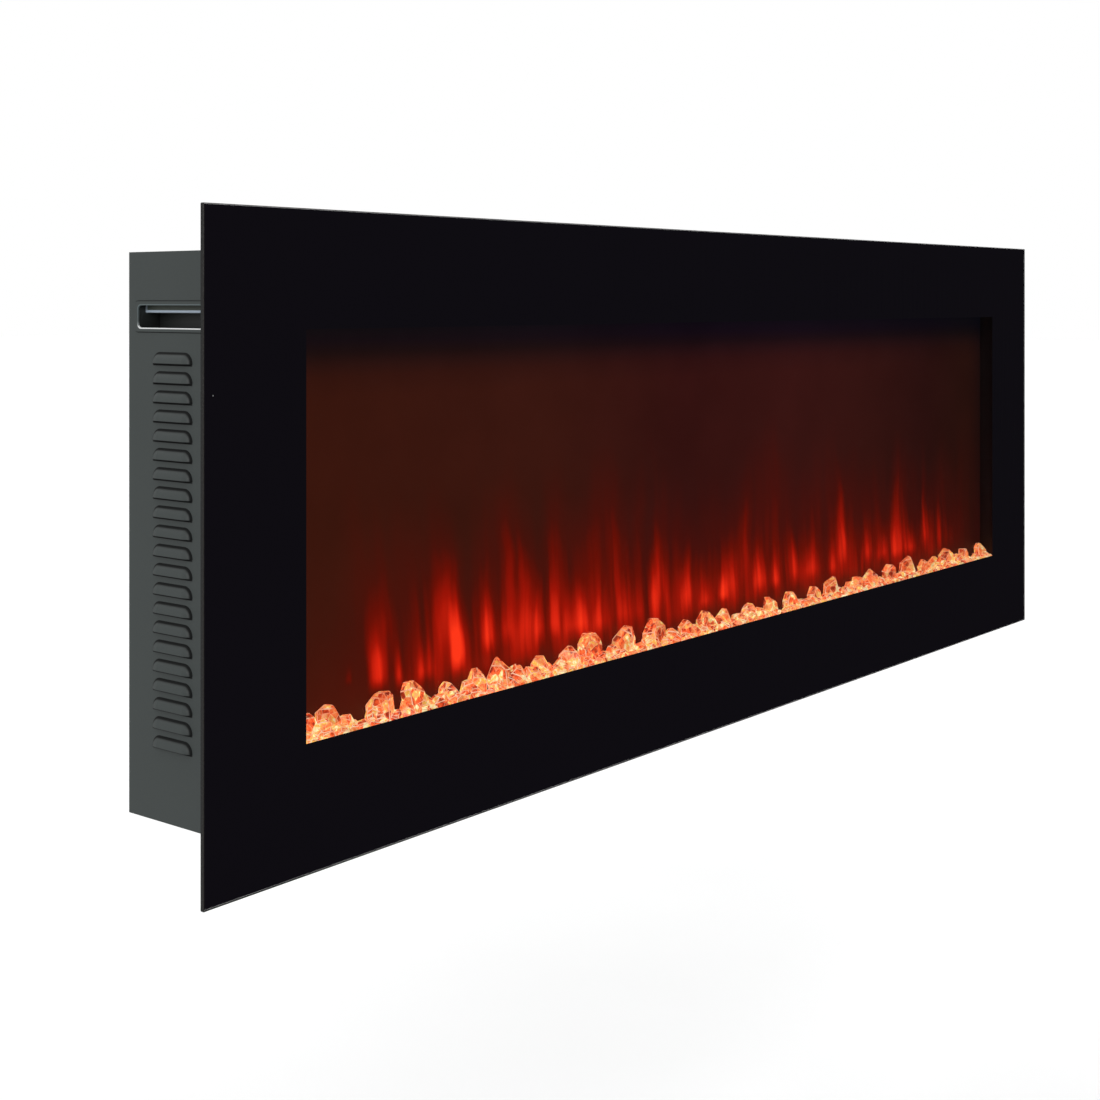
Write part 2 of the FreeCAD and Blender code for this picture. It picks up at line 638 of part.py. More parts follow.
def flame_cutout_plate():
    """Plate with flame-shaped apertures and a shelf for the flame lamps."""
    plate = block(-PLATE_HALF, PLATE_HALF, CUTOUT_N, CUTOUT_N + SHEET, SHELF_H, PLATE_H1)
    shelf = block(-SHELF_HALF, SHELF_HALF, CUTOUT_N, SHELF_N1, SHELF_H, SHELF_H + SHEET)
    rng = random.Random(5)
    slots = []
    for i in range(LEAF_COUNT):
        x = (i - (LEAF_COUNT - 1) / 2) * LEAF_PITCH
        slots.append(flame_slot(x, rng.uniform(*LEAF_WIDTHS), rng.uniform(*LEAF_HEIGHTS), LEAF_H0))
    return plate.cut(Part.makeCompound(slots)).fuse(shelf).removeSplitter()


def spindle_rod():
    """Long steel rod of the flame spindle."""
    return rod(SPINDLE_X0, SPINDLE_N, SPINDLE_H, X_AXIS, SPINDLE_R, SPINDLE_X1 - SPINDLE_X0)


def reflector(x, turn):
    """Collar with two bright wings, set at its own angle on the rod."""
    collar = ring(x, SPINDLE_N, SPINDLE_H, X_AXIS, SPINDLE_R + 1.5, SPINDLE_R, REFLECTOR_L)
    parts = [collar]
    for side in (-1, 1):
        low = SPINDLE_H + side * (SPINDLE_R + 1.2)
        high = SPINDLE_H + side * REFLECTOR_R
        parts.append(block(x, x + REFLECTOR_L, SPINDLE_N - WING_T / 2, SPINDLE_N + WING_T / 2,
                           min(low, high), max(low, high)))
    whole = fused(parts)
    whole.rotate(point(x, SPINDLE_N, SPINDLE_H), X_AXIS, turn)
    return whole


def spindle_reflectors():
    """Reflectors spread along the rod, each turned a little more than the last."""
    first = -(REFLECTOR_COUNT - 1) / 2 * REFLECTOR_PITCH - REFLECTOR_L / 2
    places = [first + i * REFLECTOR_PITCH for i in range(REFLECTOR_COUNT)]
    bushes = (-MID_BEARING_X, MID_BEARING_X)
    clear = [x for x in places if all(not (x - 4 < b < x + REFLECTOR_L + 4) for b in bushes)]
    return group([reflector(x, REFLECTOR_TURN * i) for i, x in enumerate(clear)])


def motor_shaft():
    """Output shaft of the spindle motor."""
    start = SPINDLE_X1 + 1
    return rod(start, SPINDLE_N, SPINDLE_H, X_AXIS, MOTOR_SHAFT_R, MOTOR_X0 + 10 - start)


def drive_coupling():
    """Rubber sleeve that joins the rod and the motor shaft."""
    sleeve = ring(SPINDLE_X1 - 12, SPINDLE_N, SPINDLE_H, X_AXIS, COUPLING_R, SPINDLE_R, 12)
    nose = ring(SPINDLE_X1, SPINDLE_N, SPINDLE_H, X_AXIS, COUPLING_R, MOTOR_SHAFT_R, 10)
    return sleeve.fuse(nose).removeSplitter()


def spindle_motor():
    """Slow synchronous motor with its gearbox boss and mounting ears."""
    can = rod(MOTOR_X0, SPINDLE_N, SPINDLE_H, X_AXIS, MOTOR_R, MOTOR_L)
    can = can.makeFillet(1.5, [can.Edges[0]])
    boss = rod(MOTOR_X0 - ARM_T, SPINDLE_N, SPINDLE_H, X_AXIS, MOTOR_BOSS_R, 2)
    ear = MOTOR_R + MOTOR_EAR
    ears = block(MOTOR_X0, MOTOR_X0 + ARM_T, SPINDLE_N - 4, SPINDLE_N + 4, SPINDLE_H - ear, SPINDLE_H + ear)
    bore = rod(MOTOR_X0 - 6, SPINDLE_N, SPINDLE_H, X_AXIS, MOTOR_SHAFT_R + RUNNING, 17)
    return fused([can, boss, ears]).cut(bore)


def motor_bracket():
    """Sheet plate that carries the spindle motor on the casing floor."""
    floor = CASE_H0 + SHEET
    n0, n1 = SPINDLE_N - 22, SPINDLE_N + MOTOR_R
    top = SPINDLE_H + MOTOR_R + 8
    plate = block(MOTOR_X0 - ARM_T, MOTOR_X0, n0, n1, floor, top)
    foot = block(MOTOR_X0 - ARM_FOOT, MOTOR_X0, n0, n1, floor, floor + ARM_T)
    hole = rod(MOTOR_X0 - 6, SPINDLE_N, SPINDLE_H, X_AXIS, MOTOR_BOSS_R, 10)
    return fused([plate, foot]).cut(hole)


def bearing_places():
    """x positions of the spindle's bushes."""
    return (END_BEARING_X, -MID_BEARING_X, MID_BEARING_X)


def bearing_brackets():
    """Sheet arms that hold the spindle bushes, footed on the casing floor."""
    floor = CASE_H0 + SHEET
    arms = []
    for x in bearing_places():
        left, right = x - ARM_T / 2, x + ARM_T / 2
        head = block(left, right, SPINDLE_N - 9, ARM_N1, ARM_NECK_H, SPINDLE_H + 14)
        leg = block(left, right, ARM_N0, ARM_N1, floor, ARM_NECK_H)
        foot = block(left, x + ARM_FOOT, ARM_N0, ARM_N1, floor, floor + ARM_T)
        arm = fused([head, leg, foot])
        arms.append(arm.cut(rod(x - 2, SPINDLE_N, SPINDLE_H, X_AXIS, BUSH_R, 4)))
    return group(arms)


def spindle_bushes():
    """Plain nylon bushes in the bearing brackets."""
    bushes = []
    for x in bearing_places():
        sleeve = ring(x - 3, SPINDLE_N, SPINDLE_H, X_AXIS, BUSH_R, SPINDLE_R + RUNNING, 6)
        collar = ring(x - 3, SPINDLE_N, SPINDLE_H, X_AXIS, BUSH_R + 2, SPINDLE_R + RUNNING,
                      3 - ARM_T / 2)
        bushes.append(sleeve.fuse(collar).removeSplitter())
    return group(bushes)


# ---- heater and blower ----

def heater_duct():
    """Square duct from the blower down to the outlet."""
    floor = CASE_H0 + SHEET
    half, n0, n1 = HOUSING_HALF, OUTLET_N0, OUTLET_N1
    outer = block(-half, half, n0 - HOUSING_T, n1 + HOUSING_T, floor, DUCT_H1)
    return outer.cut(block(-half + HOUSING_T, half - HOUSING_T, n0, n1, floor, DUCT_H1))


def heating_element():
    """Finned heating block across the duct."""
    half, low, high = HEATER_HALF, HEATER_H0, HEATER_H1
    front, rear = OUTLET_N0 + 5, OUTLET_N1 - 5
    rails = [block(-half, half, n, n + 3, low, high) for n in (front, rear - 3)]
    core = block(-half, half, FAN_N - 3, FAN_N + 3, low + 2, high - 2)
    fins = []
    for i in range(FIN_COUNT):
        x = (i - (FIN_COUNT - 1) / 2) * FIN_PITCH
        fins.append(block(x - FIN_T / 2, x + FIN_T / 2, front + 3, rear - 3, low + 1, high - 1))
    tab = block(-half - 11, -half, FAN_N - 2, FAN_N + 2, low + 4, high - 4)
    return fused(rails + [core] + fins + [tab, mirrored(tab)])


def thermal_cutout():
    """Round safety thermostat on the duct's front wall."""
    wall = OUTLET_N0 - HOUSING_T
    front = wall - CUTOUT_DEEP
    body = rod(CUTOUT_X, wall, CUTOUT_H, -Y_AXIS, CUTOUT_R, CUTOUT_DEEP)
    pins = [block(x - 1.5, x + 1.5, front - 7, front, CUTOUT_H - 0.4, CUTOUT_H + 0.4)
            for x in (CUTOUT_X - 4, CUTOUT_X + 4)]
    return fused([body] + pins)


def tunnel(radius, x0, length):
    """Arched block: straight sides from the duct joint, round top about the fan axis."""
    straight = block(x0, x0 + length, FAN_N - radius, FAN_N + radius, DUCT_H1, FAN_H)
    return straight.fuse(rod(x0, FAN_N, FAN_H, X_AXIS, radius, length)).removeSplitter()


def blower_housing():
    """Crossflow blower shell with its intake slot, end plates and tongue."""
    half = HOUSING_HALF
    inner = half - HOUSING_T
    bore = HOUSING_R - HOUSING_T
    shell = tunnel(HOUSING_R, -half, 2 * half).cut(tunnel(bore, -inner, 2 * inner))
    shell = shell.cut(block(-inner, inner, FAN_N - bore, FAN_N + bore, DUCT_H1 - 30, DUCT_H1 + 1))
    intake = block(-FAN_HALF, FAN_HALF, FAN_N - 30, FAN_N - 4, FAN_H + 4, FAN_H + 30)
    shell = shell.cut(intake)
    tongue = block(-inner, inner, FAN_N - bore, FAN_N - 10, FAN_H - 24, FAN_H - 22.5)
    shell = shell.fuse(tongue).removeSplitter()
    shell = shell.cut(rod(-half - 1, FAN_N, FAN_H, X_AXIS, BLOWER_BUSH_R, 4))
    return shell.cut(rod(half - 3, FAN_N, FAN_H, X_AXIS, BLOWER_SHAFT_R + 1.5, 5))


def blower_impeller():
    """Long drum of blades between discs."""
    disc_places = (-FAN_HALF, -DISC_T / 2, FAN_HALF - DISC_T)
    discs = [rod(x, FAN_N, FAN_H, X_AXIS, FAN_R, DISC_T) for x in disc_places]
    hubs = [rod(x, FAN_N, FAN_H, X_AXIS, HUB_R, HUB_L) for x in (-FAN_HALF, FAN_HALF - HUB_L)]
    blades = []
    for i in range(BLADE_COUNT):
        blade = block(-FAN_HALF, FAN_HALF, FAN_N - BLADE_T / 2, FAN_N + BLADE_T / 2,
                      FAN_H + BLADE_R0, FAN_H + BLADE_R1)
        blade.rotate(point(0, FAN_N, FAN_H + (BLADE_R0 + BLADE_R1) / 2), X_AXIS, BLADE_LEAN)
        blade.rotate(point(0, FAN_N, FAN_H), X_AXIS, 360 / BLADE_COUNT * i)
        blades.append(blade)
    drum = discs[0].multiFuse(discs[1:] + hubs + blades)
    return drum.cut(rod(-FAN_HALF - 5, FAN_N, FAN_H, X_AXIS, BLOWER_SHAFT_R, 2 * FAN_HALF + 10))


def blower_shaft():
    """Steel shaft through the impeller, into the bush and the motor."""
    return rod(-HOUSING_HALF - 8, FAN_N, FAN_H, X_AXIS, BLOWER_SHAFT_R, 2 * HOUSING_HALF + 32)


def blower_bush():
    """Bush in the housing's left end plate."""
    return ring(-HOUSING_HALF - 5, FAN_N, FAN_H, X_AXIS, BLOWER_BUSH_R, BLOWER_SHAFT_R + RUNNING, 6)


def blower_motor():
    """Shaded-pole motor: laminated frame, coil and legs on the housing."""
    x0 = HOUSING_HALF + STACK_GAP
    x1 = x0 + STACK_T
    low = FAN_H - 28
    frame = rounded_block(x0, x1, FAN_N - STACK_HALF, FAN_N + STACK_HALF, low, FAN_H + 20, 3)
    coil = rounded_block(x0 - 4, x1 + 4, FAN_N - COIL_HALF, FAN_N + COIL_HALF, low, FAN_H - 14, 3)
    caps = rod(x0 - 4, FAN_N, FAN_H, X_AXIS, 11, STACK_T + 10)
    legs = [rod(HOUSING_HALF, FAN_N + a, FAN_H + 14, X_AXIS, 2.5, STACK_GAP) for a in (-16, 16)]
    whole = fused([frame, coil, caps] + legs)
    return whole.cut(rod(HOUSING_HALF - 4, FAN_N, FAN_H, X_AXIS, BLOWER_SHAFT_R + RUNNING, 32))


# ---- electronics ----

def board_corners():
    """Places of the main board's four mounting holes, as (x, h)."""
    xs = (BOARD_X0 + BOARD_INSET, BOARD_X1 - BOARD_INSET)
    hs = (BOARD_H0 + BOARD_INSET, BOARD_H1 - BOARD_INSET)
    return [(x, h) for x in xs for h in hs]


def power_board():
    """Main circuit board, parallel to the rear panel."""
    board = block(BOARD_X0, BOARD_X1, BOARD_N, BOARD_N + BOARD_T, BOARD_H0, BOARD_H1)
    for x, h in board_corners():
        board = board.cut(rod(x, BOARD_N - 1, h, Y_AXIS, BOARD_HOLE_R, HOLE_THROUGH))
    return board


def board_standoffs():
    """Hollow posts between the board and the rear panel."""
    back = BOARD_N + BOARD_T
    return group([ring(x, back, h, Y_AXIS, POST_R, BOARD_HOLE_R, CASE_N1 - back)
                  for x, h in board_corners()])


def board_components():
    """Relays, transformer, capacitors and sockets on the main board."""
    face = BOARD_N
    x0, x1, h0, h1 = TRANSFORMER
    parts = [rounded_block(x0, x1, face - 32, face, h0, h1, 2)]
    parts += [block(RELAY_X0, RELAY_X1, face - 15, face, h, h + 16) for h in RELAY_H]
    parts += [block(SOCKET_X0, SOCKET_X1, face - 10, face, h, h + 12) for h in SOCKET_H]
    for x, h in CAPACITORS:
        can = rod(x, face, h, -Y_AXIS, CAPACITOR_R, CAPACITOR_L)
        parts.append(can.makeFillet(1, [can.Edges[0]]))
    return group(parts)


def terminal_block():
    """Screw terminals for the mains lead, on the casing floor."""
    floor = CASE_H0 + SHEET
    top = floor + 18
    body = block(TERMINAL_X[0] - 9, TERMINAL_X[-1] + 9, GLAND_N - 10, GLAND_N + 10, floor, top)
    for x in TERMINAL_X:
        body = body.cut(rod(x, GLAND_N, top + 1, -Z_AXIS, 3, 9))
    return body


def mains_gland():
    """Threaded cable gland through the floor, with its clamping cap and lock nut."""
    h = CASE_H0
    thread = rod(GLAND_X, GLAND_N, h, Z_AXIS, GLAND_THREAD_R, 10)
    collar = prism_hex(GLAND_X, GLAND_N, h - 4, GLAND_HEX_R, 4)
    cap = rod(GLAND_X, GLAND_N, h - 14, Z_AXIS, GLAND_CAP_R, 10)
    cap = cap.makeChamfer(2, [cap.Edges[2]])
    body = fused([thread, collar, cap]).cut(rod(GLAND_X, GLAND_N, h - 20, Z_AXIS, GLAND_BORE_R, 40))
    nut = prism_hex(GLAND_X, GLAND_N, h + SHEET, GLAND_HEX_R, 5)
    nut = nut.cut(rod(GLAND_X, GLAND_N, h, Z_AXIS, GLAND_THREAD_R, 10))
    return group([body, nut])


def prism_hex(x, n, h, radius, height):
    """Hexagonal prism standing on a height."""
    corners = []
    for i in range(6):
        a = math.pi / 3 * i
        corners.append(point(x + radius * math.cos(a), n + radius * math.sin(a), h))
    return Part.Face(Part.makePolygon(corners + corners[:1])).extrude(Z_AXIS * height)


def wire_run(points, radius, bend):
    """Round lead along straight runs joined by tangent arcs."""
    route = [point(*p) for p in points]
    edges = []
    start = route[0]
    for before, corner, after in zip(route, route[1:], route[2:]):
        a = (before - corner).normalize()
        b = (after - corner).normalize()
        half = a.getAngle(b) / 2
        reach = bend / math.tan(half)
        first = corner + a * reach
        last = corner + b * reach
        middle = corner + (a + b).normalize() * (bend / math.sin(half) - bend)
        edges.append(Part.LineSegment(start, first).toShape())
        edges.append(Part.Arc(first, middle, last).toShape())
        start = last
    edges.append(Part.LineSegment(start, route[-1]).toShape())
    path = Part.Wire(edges)
    section = Part.Wire([Part.Circle(route[0], route[1] - route[0], radius).toShape()])
    return path.makePipeShell([section], True, False)


def wiring():
    """Leads from the main board to the motors, the lamps, the terminals and the controls."""
    runs = [
        [(551, 134, 205), (551, 134, 160), (160, 134, 160), (160, 134, 113)],
        [(480, 150, 189), (480, 150, 166), (690, 150, 166), (690, 95, 166), (690, 95, 135),
         (676, 95, 135)],
        [(593, 132, 54), (593, 132, 150), (520, 132, 150), (520, 132, 189)],
    ]
    return group([wire_run(run, LEAD_R, LEAD_BEND) for run in runs])


# ---- controls ----

def control_board():
    """Small board behind the push-buttons."""
    return block(CONTROL_BOARD_X, CONTROL_BOARD_X + BOARD_T, CONTROL_BOARD_N0, CONTROL_BOARD_N1,
                 CONTROL_H - CONTROL_BOARD_HALF, CONTROL_H + CONTROL_BOARD_HALF)


def tactile_switches():
    """Board switches that the buttons press."""
    switches = []
    for n in BUTTON_N.values():
        base = block(CONTROL_BOARD_X + BOARD_T, SWITCH_X - 1, n - 3, n + 3, CONTROL_H - 3, CONTROL_H + 3)
        switches.append(base.fuse(rod(SWITCH_X - 1, n, CONTROL_H, X_AXIS, 1.6, 1)).removeSplitter())
    return group(switches)


def control_posts():
    """Posts that hold the control board off the side panel."""
    front = CONTROL_BOARD_X + BOARD_T
    inset = CONTROL_POST_INSET
    high = CONTROL_BOARD_HALF - inset
    return group([rod(front, n, CONTROL_H + a, X_AXIS, CONTROL_POST_R, CXI - front)
                  for n in (CONTROL_BOARD_N0 + inset, CONTROL_BOARD_N1 - inset) for a in (-high, high)])


def control_bezel():
    """Moulded bezel on the right side panel, with the rocker and button openings."""
    plate = rounded_block(CX, BX, BEZEL_N0, BEZEL_N1, BEZEL_H0, BEZEL_H1, 5)
    rim = [e for e in plate.Edges if abs(e.CenterOfMass.x - BX) < 0.01]
    plate = plate.makeChamfer(0.8, rim)
    cuts = [rocker_window()]
    cuts += [rod(CX - 3, n, CONTROL_H, X_AXIS, BUTTON_R + 0.3, 10) for n in BUTTON_N.values()]
    return plate.cut(Part.makeCompound(cuts))


def rocker_housing():
    """Snap-in frame of the mains rocker switch."""
    def frame(x0, x1, grow):
        """Upright box about the switch's axis, larger or smaller than the opening."""
        half_n, half_h = ROCKER_HALF_N + grow, ROCKER_HALF_H + grow
        return block(x0, x1, ROCKER_N - half_n, ROCKER_N + half_n, CONTROL_H - half_h, CONTROL_H + half_h)

    body = frame(CX - 18, BX, -ROCKER_PLAY)
    rim = frame(BX, BX + 1.6, 2.0)
    rim = rim.makeFillet(1.5, along_x(rim))
    room = frame(CX - 8, BX + 3, -ROCKER_PLAY - ROCKER_WALL)
    pins = [block(CX - 26, CX - 18, ROCKER_N - 3, ROCKER_N + 3, CONTROL_H + a, CONTROL_H + a + 0.8)
            for a in (-6, 5)]
    return fused([body, rim]).cut(room).fuse(pins).removeSplitter()


def power_rocker():
    """Rocker paddle, shown pressed on its upper half."""
    half, width = 9.2, 12.2
    top = ROCKER_PIVOT_X + 3.4
    outline = [Vec(ROCKER_PIVOT_X - 5.0, 0, -3.5), Vec(ROCKER_PIVOT_X + 0.3, 0, -half),
               Vec(top, 0, -half + 0.3), Vec(top - 1.0, 0, 0), Vec(top, 0, half - 0.3),
               Vec(ROCKER_PIVOT_X + 0.3, 0, half), Vec(ROCKER_PIVOT_X - 5.0, 0, 3.5)]
    face = Part.Face(Part.makePolygon(outline + outline[:1]))
    paddle = face.extrude(Y_AXIS * width)
    paddle.translate(point(0, ROCKER_N - width / 2, CONTROL_H))
    paddle.rotate(point(ROCKER_PIVOT_X, ROCKER_N, CONTROL_H), Y_AXIS, -ROCKER_TILT)
    return paddle


def push_button(n):
    """Round cap with a retaining flange and a stem."""
    front = BX + BUTTON_PROUD
    inside = CXI - 1.6
    cap = rod(inside, n, CONTROL_H, X_AXIS, BUTTON_R, front - inside)
    rim = [e for e in cap.Edges if abs(e.CenterOfMass.x - front) < 0.01]
    cap = cap.makeFillet(0.8, rim)
    flange = rod(inside, n, CONTROL_H, X_AXIS, 6.6, 1.5)
    tip = SWITCH_X + BUTTON_TRAVEL_GAP
    stem = rod(tip, n, CONTROL_H, X_AXIS, 2, inside - tip)
    return fused([cap, flange, stem])


def parts():
    """Every node of the fireplace, by name."""
    side_left, side_right = side_panels()
    grip = hand_hold()
    nodes = {
        "side_panel_left": side_left,
        "side_panel_right": side_right,
        "hand_hold_left": grip,
        "hand_hold_right": mirrored(grip),
        "ember_led_board": led_strip(EMBER_LED_N0, EMBER_LED_N1, TRAY_H0 + SHEET, EMBER_LED_HALF, 38),
        "flame_led_board": led_strip(FLAME_LED_N0, FLAME_LED_N1, SHELF_H + SHEET, FLAME_LED_HALF, 26),
    }
    makers = (
        wall_bracket, rear_panel, casing_screws, wall_bumpers, top_panel, bottom_panel,
        outlet_grille, glass_hook_brackets, front_glass, glass_print, ir_window, ir_receiver,
        ir_lead, glass_hangers, glass_pads, flame_screen, firebox_side_liners,
        firebox_top_liner, screen_clips, ember_tray, ember_diffuser, crystals,
        flame_cutout_plate, spindle_rod, spindle_reflectors, motor_shaft, drive_coupling,
        spindle_motor, motor_bracket, bearing_brackets, spindle_bushes, heater_duct,
        heating_element, thermal_cutout, blower_housing, blower_impeller, blower_shaft,
        blower_bush, blower_motor, power_board, board_standoffs, board_components,
        terminal_block, mains_gland, wiring, control_board, tactile_switches, control_posts,
        control_bezel, rocker_housing, power_rocker,
    )
    for make in makers:
        nodes[make.__name__] = make()
    for name, n in BUTTON_N.items():
        nodes[name] = push_button(n)
    return nodes


def main():
    os.makedirs("parts", exist_ok=True)
    for name, shape in parts().items():
        shape.exportStep("parts/" + name + ".step")
        print(name, len(shape.Solids), shape.isValid(), round(shape.Volume))


main()
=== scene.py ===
import math
import random

import bmesh
import bpy
from mathutils import Matrix, Vector


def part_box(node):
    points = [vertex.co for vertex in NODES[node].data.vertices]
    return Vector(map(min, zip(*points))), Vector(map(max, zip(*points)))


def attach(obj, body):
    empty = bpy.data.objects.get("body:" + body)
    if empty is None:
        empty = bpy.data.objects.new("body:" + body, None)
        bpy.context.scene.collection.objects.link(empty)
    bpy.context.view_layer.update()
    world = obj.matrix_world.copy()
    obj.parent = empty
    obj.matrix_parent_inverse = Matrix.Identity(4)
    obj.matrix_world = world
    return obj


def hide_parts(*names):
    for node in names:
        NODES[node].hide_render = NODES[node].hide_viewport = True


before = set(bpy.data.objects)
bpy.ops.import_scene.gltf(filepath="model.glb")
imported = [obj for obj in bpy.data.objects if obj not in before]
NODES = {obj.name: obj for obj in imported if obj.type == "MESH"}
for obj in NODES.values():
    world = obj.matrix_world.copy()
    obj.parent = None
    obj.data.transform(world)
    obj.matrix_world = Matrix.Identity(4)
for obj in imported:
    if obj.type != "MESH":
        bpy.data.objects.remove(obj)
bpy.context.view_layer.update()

# Wall-hung linear electric fireplace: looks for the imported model. Metres, +Z up, the front faces -Y.

# ---- places read from the frame ----
GLASS_LOW, GLASS_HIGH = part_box("front_glass")
SCREEN_LOW, SCREEN_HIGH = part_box("flame_screen")
DIFFUSER_LOW, DIFFUSER_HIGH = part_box("ember_diffuser")
HOLD_LOW, HOLD_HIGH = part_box("hand_hold_left")
DOT_LOW, DOT_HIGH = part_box("ir_window")
PRINT_BELOW = 0.106                   # height of the print's border below the clear window
PRINT_ABOVE = 0.098                   # and above it
WINDOW_LOW = GLASS_LOW.z + PRINT_BELOW
WINDOW_HIGH = GLASS_HIGH.z - PRINT_ABOVE
SHEET = 0.0012                        # thickness of the casing's sheets
CASING_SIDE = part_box("top_panel")[0].x - SHEET      # outer face of the left side panel
LAMP_PITCH = 0.036                    # spacing of the lamps under the diffuser

# ---- the casing's paint ----
PAINT_DARK, PAINT_LIGHT = (56, 62, 61), (59, 65, 64)      # display values
PEEL_SCALE = 900.0                    # dimples of a sprayed coat per metre

# ---- the column of louvres ----
LOUVRE_PITCH = 0.01587
LOUVRE_COUNT = 21
LOUVRE_TOP = GLASS_LOW.z + 0.4132     # flat lower edge of the top louvre
LOUVRE_BOTTOM = LOUVRE_TOP - LOUVRE_COUNT * LOUVRE_PITCH      # one pitch below the lowest flat edge
LOUVRE_MIDDLE = GLASS_LOW.y + 0.103
LOUVRE_HALF = 0.0255                  # half of a louvre's length
LOUVRE_SHADOW_BAND = 0.0019                   # height of the painted shadow under a flat edge
LOUVRE_CLEAR = 0.004                  # this far above a flat edge there is no painted shadow
RIM_STEEP, RIM_FLAT = 0.77, 0.88      # sideways part of the normal on a rim, and on an open face; the painted shade fades between them

# ---- the hand-hold's opening and finger lip, from its pocket ----
HOLD_WALL = 0.002
HOLD_OPEN = 0.0188                    # height of the opening
HOLD_ROUND = 0.0035                   # its corner radius
LIP_FACE = -0.702                     # outer face of the finger lip
LIP_LOW = HOLD_LOW.z + HOLD_WALL + 0.0121
LIP_ROLL = 0.0015                     # radius of its rolled edge

# ---- studio ----
AMBIENT = 1.0                         # light from around and above on matt surfaces
AMBIENT_BELOW = 0.5                   # and from below
FLOOR_DROP = 0.55                     # floor below the hung glass
FLOOR_SIZE = 80.0
CLEAR_DEPTH = 3.5                     # bounces up to which a ray through glass sees plain white

# ---- camera, as offsets from the glass's front left bottom corner ----
CAMERA_OFFSET = Vector((-0.8438, -1.0166, 0.4655))
CAMERA_TURN = math.radians(-51.19)
CAMERA_LENS = 55.76
CAMERA_SHIFT_Y = -0.2270


def make_camera():
    """Level camera in front of the left end, looking along the front."""
    data = bpy.data.cameras.new("camera")
    data.sensor_width = 36.0
    data.lens = CAMERA_LENS
    data.shift_y = CAMERA_SHIFT_Y
    data.clip_start = 0.01
    camera = bpy.data.objects.new("camera", data)
    camera.location = GLASS_LOW + CAMERA_OFFSET
    camera.rotation_euler = (math.radians(90), 0, CAMERA_TURN)
    bpy.context.scene.collection.objects.link(camera)
    bpy.context.scene.camera = camera


# ---- short calls for node trees ----

def with_alpha(value):
    """A colour of three numbers with its alpha added; anything else as it is."""
    return (*value, 1.0) if isinstance(value, tuple) and len(value) == 3 else value


class Graph:
    """Adds nodes to a node tree; most calls give back the new node's result."""

    def __init__(self, node_tree):
        self.nodes = node_tree.nodes
        self.links = node_tree.links

    def node(self, kind, **settings):
        """A new node with its properties set."""
        made = self.nodes.new(kind)
        for key, value in settings.items():
            setattr(made, key, value)
        return made

    def feed(self, socket, value):
        """Links a socket to another, or sets its value."""
        if isinstance(value, bpy.types.NodeSocket):
            self.links.new(value, socket)
        else:
            socket.default_value = value

    def math(self, operation, *values, clamp=False):
        """A math node's result."""
        made = self.node("ShaderNodeMath", operation=operation, use_clamp=clamp)
        for socket, value in zip(made.inputs, values):
            self.feed(socket, value)
        return made.outputs[0]

    def product(self, first, *others):
        """Two or more values multiplied."""
        for value in others:
            first = self.math("MULTIPLY", first, value)
        return first

    def distance(self, a, b):
        """Length of the hypotenuse over two sides."""
        return self.math("SQRT", self.math("ADD", self.product(a, a), self.product(b, b)))

    def beyond(self, value, middle, half):
        """How far a value lies beyond half a width from the middle, or 0."""
        aside = self.math("ABSOLUTE", self.math("SUBTRACT", value, middle))
        return self.math("MAXIMUM", self.math("SUBTRACT", aside, half), 0.0)

    def remap(self, value, low, high, out_low=0.0, out_high=1.0, smooth=True):
        """A value remapped from one range to another and clamped."""
        kind = "SMOOTHSTEP" if smooth else "LINEAR"
        made = self.node("ShaderNodeMapRange", interpolation_type=kind)
        for socket, item in zip(made.inputs, (value, low, high, out_low, out_high)):
            self.feed(socket, item)
        return made.outputs[0]

    def split(self, vector):
        """The three parts of a vector."""
        made = self.node("ShaderNodeSeparateXYZ")
        self.links.new(vector, made.inputs[0])
        return made.outputs

    def combine(self, x, y, z):
        """A vector from three values."""
        made = self.node("ShaderNodeCombineXYZ")
        for socket, value in zip(made.inputs, (x, y, z)):
            self.feed(socket, value)
        return made.outputs[0]

    def place(self):
        """Separated object coordinates, which are row-frame metres."""
        return self.split(self.node("ShaderNodeTexCoord").outputs["Object"])

    def scaled_place(self, sx=1, sy=1, sz=1):
        """Object coordinates stretched along each axis."""
        coords = self.node("ShaderNodeTexCoord")
        mapping = self.node("ShaderNodeMapping")
        mapping.inputs["Scale"].default_value = (sx, sy, sz)
        self.links.new(coords.outputs["Object"], mapping.inputs[0])
        return mapping.outputs[0]

    def noise(self, vector, scale, detail=3.0, rough=0.55):
        """A noise texture's factor."""
        made = self.node("ShaderNodeTexNoise")
        self.feed(made.inputs["Vector"], vector)
        made.inputs["Scale"].default_value = scale
        made.inputs["Detail"].default_value = detail
        made.inputs["Roughness"].default_value = rough
        return made.outputs["Fac"]

    def ramp(self, factor, stops):
        """A colour ramp through (position, colour) stops."""
        made = self.node("ShaderNodeValToRGB")
        elements = made.color_ramp.elements
        while len(elements) < len(stops):
            elements.new(0.5)
        for element, (at, colour) in zip(elements, stops):
            element.position = at
            element.color = with_alpha(colour)
        self.feed(made.inputs[0], factor)
        return made.outputs[0]

    def mix(self, factor, a, b, blend="MIX"):
        """Two colours mixed."""
        made = self.node("ShaderNodeMix", data_type="RGBA", blend_type=blend)
        for socket, value in zip((made.inputs[0], made.inputs[6], made.inputs[7]), (factor, a, b)):
            self.feed(socket, with_alpha(value))
        return made.outputs[2]

    def dim(self, colour, level):
        """A colour multiplied by a grey level."""
        return self.mix(1.0, colour, self.combine(level, level, level), "MULTIPLY")

    def mix_shaders(self, factor, first, second):
        """Two shaders mixed."""
        made = self.node("ShaderNodeMixShader")
        for socket, value in zip(made.inputs, (factor, first, second)):
            self.links.new(value, socket)
        return made.outputs[0]


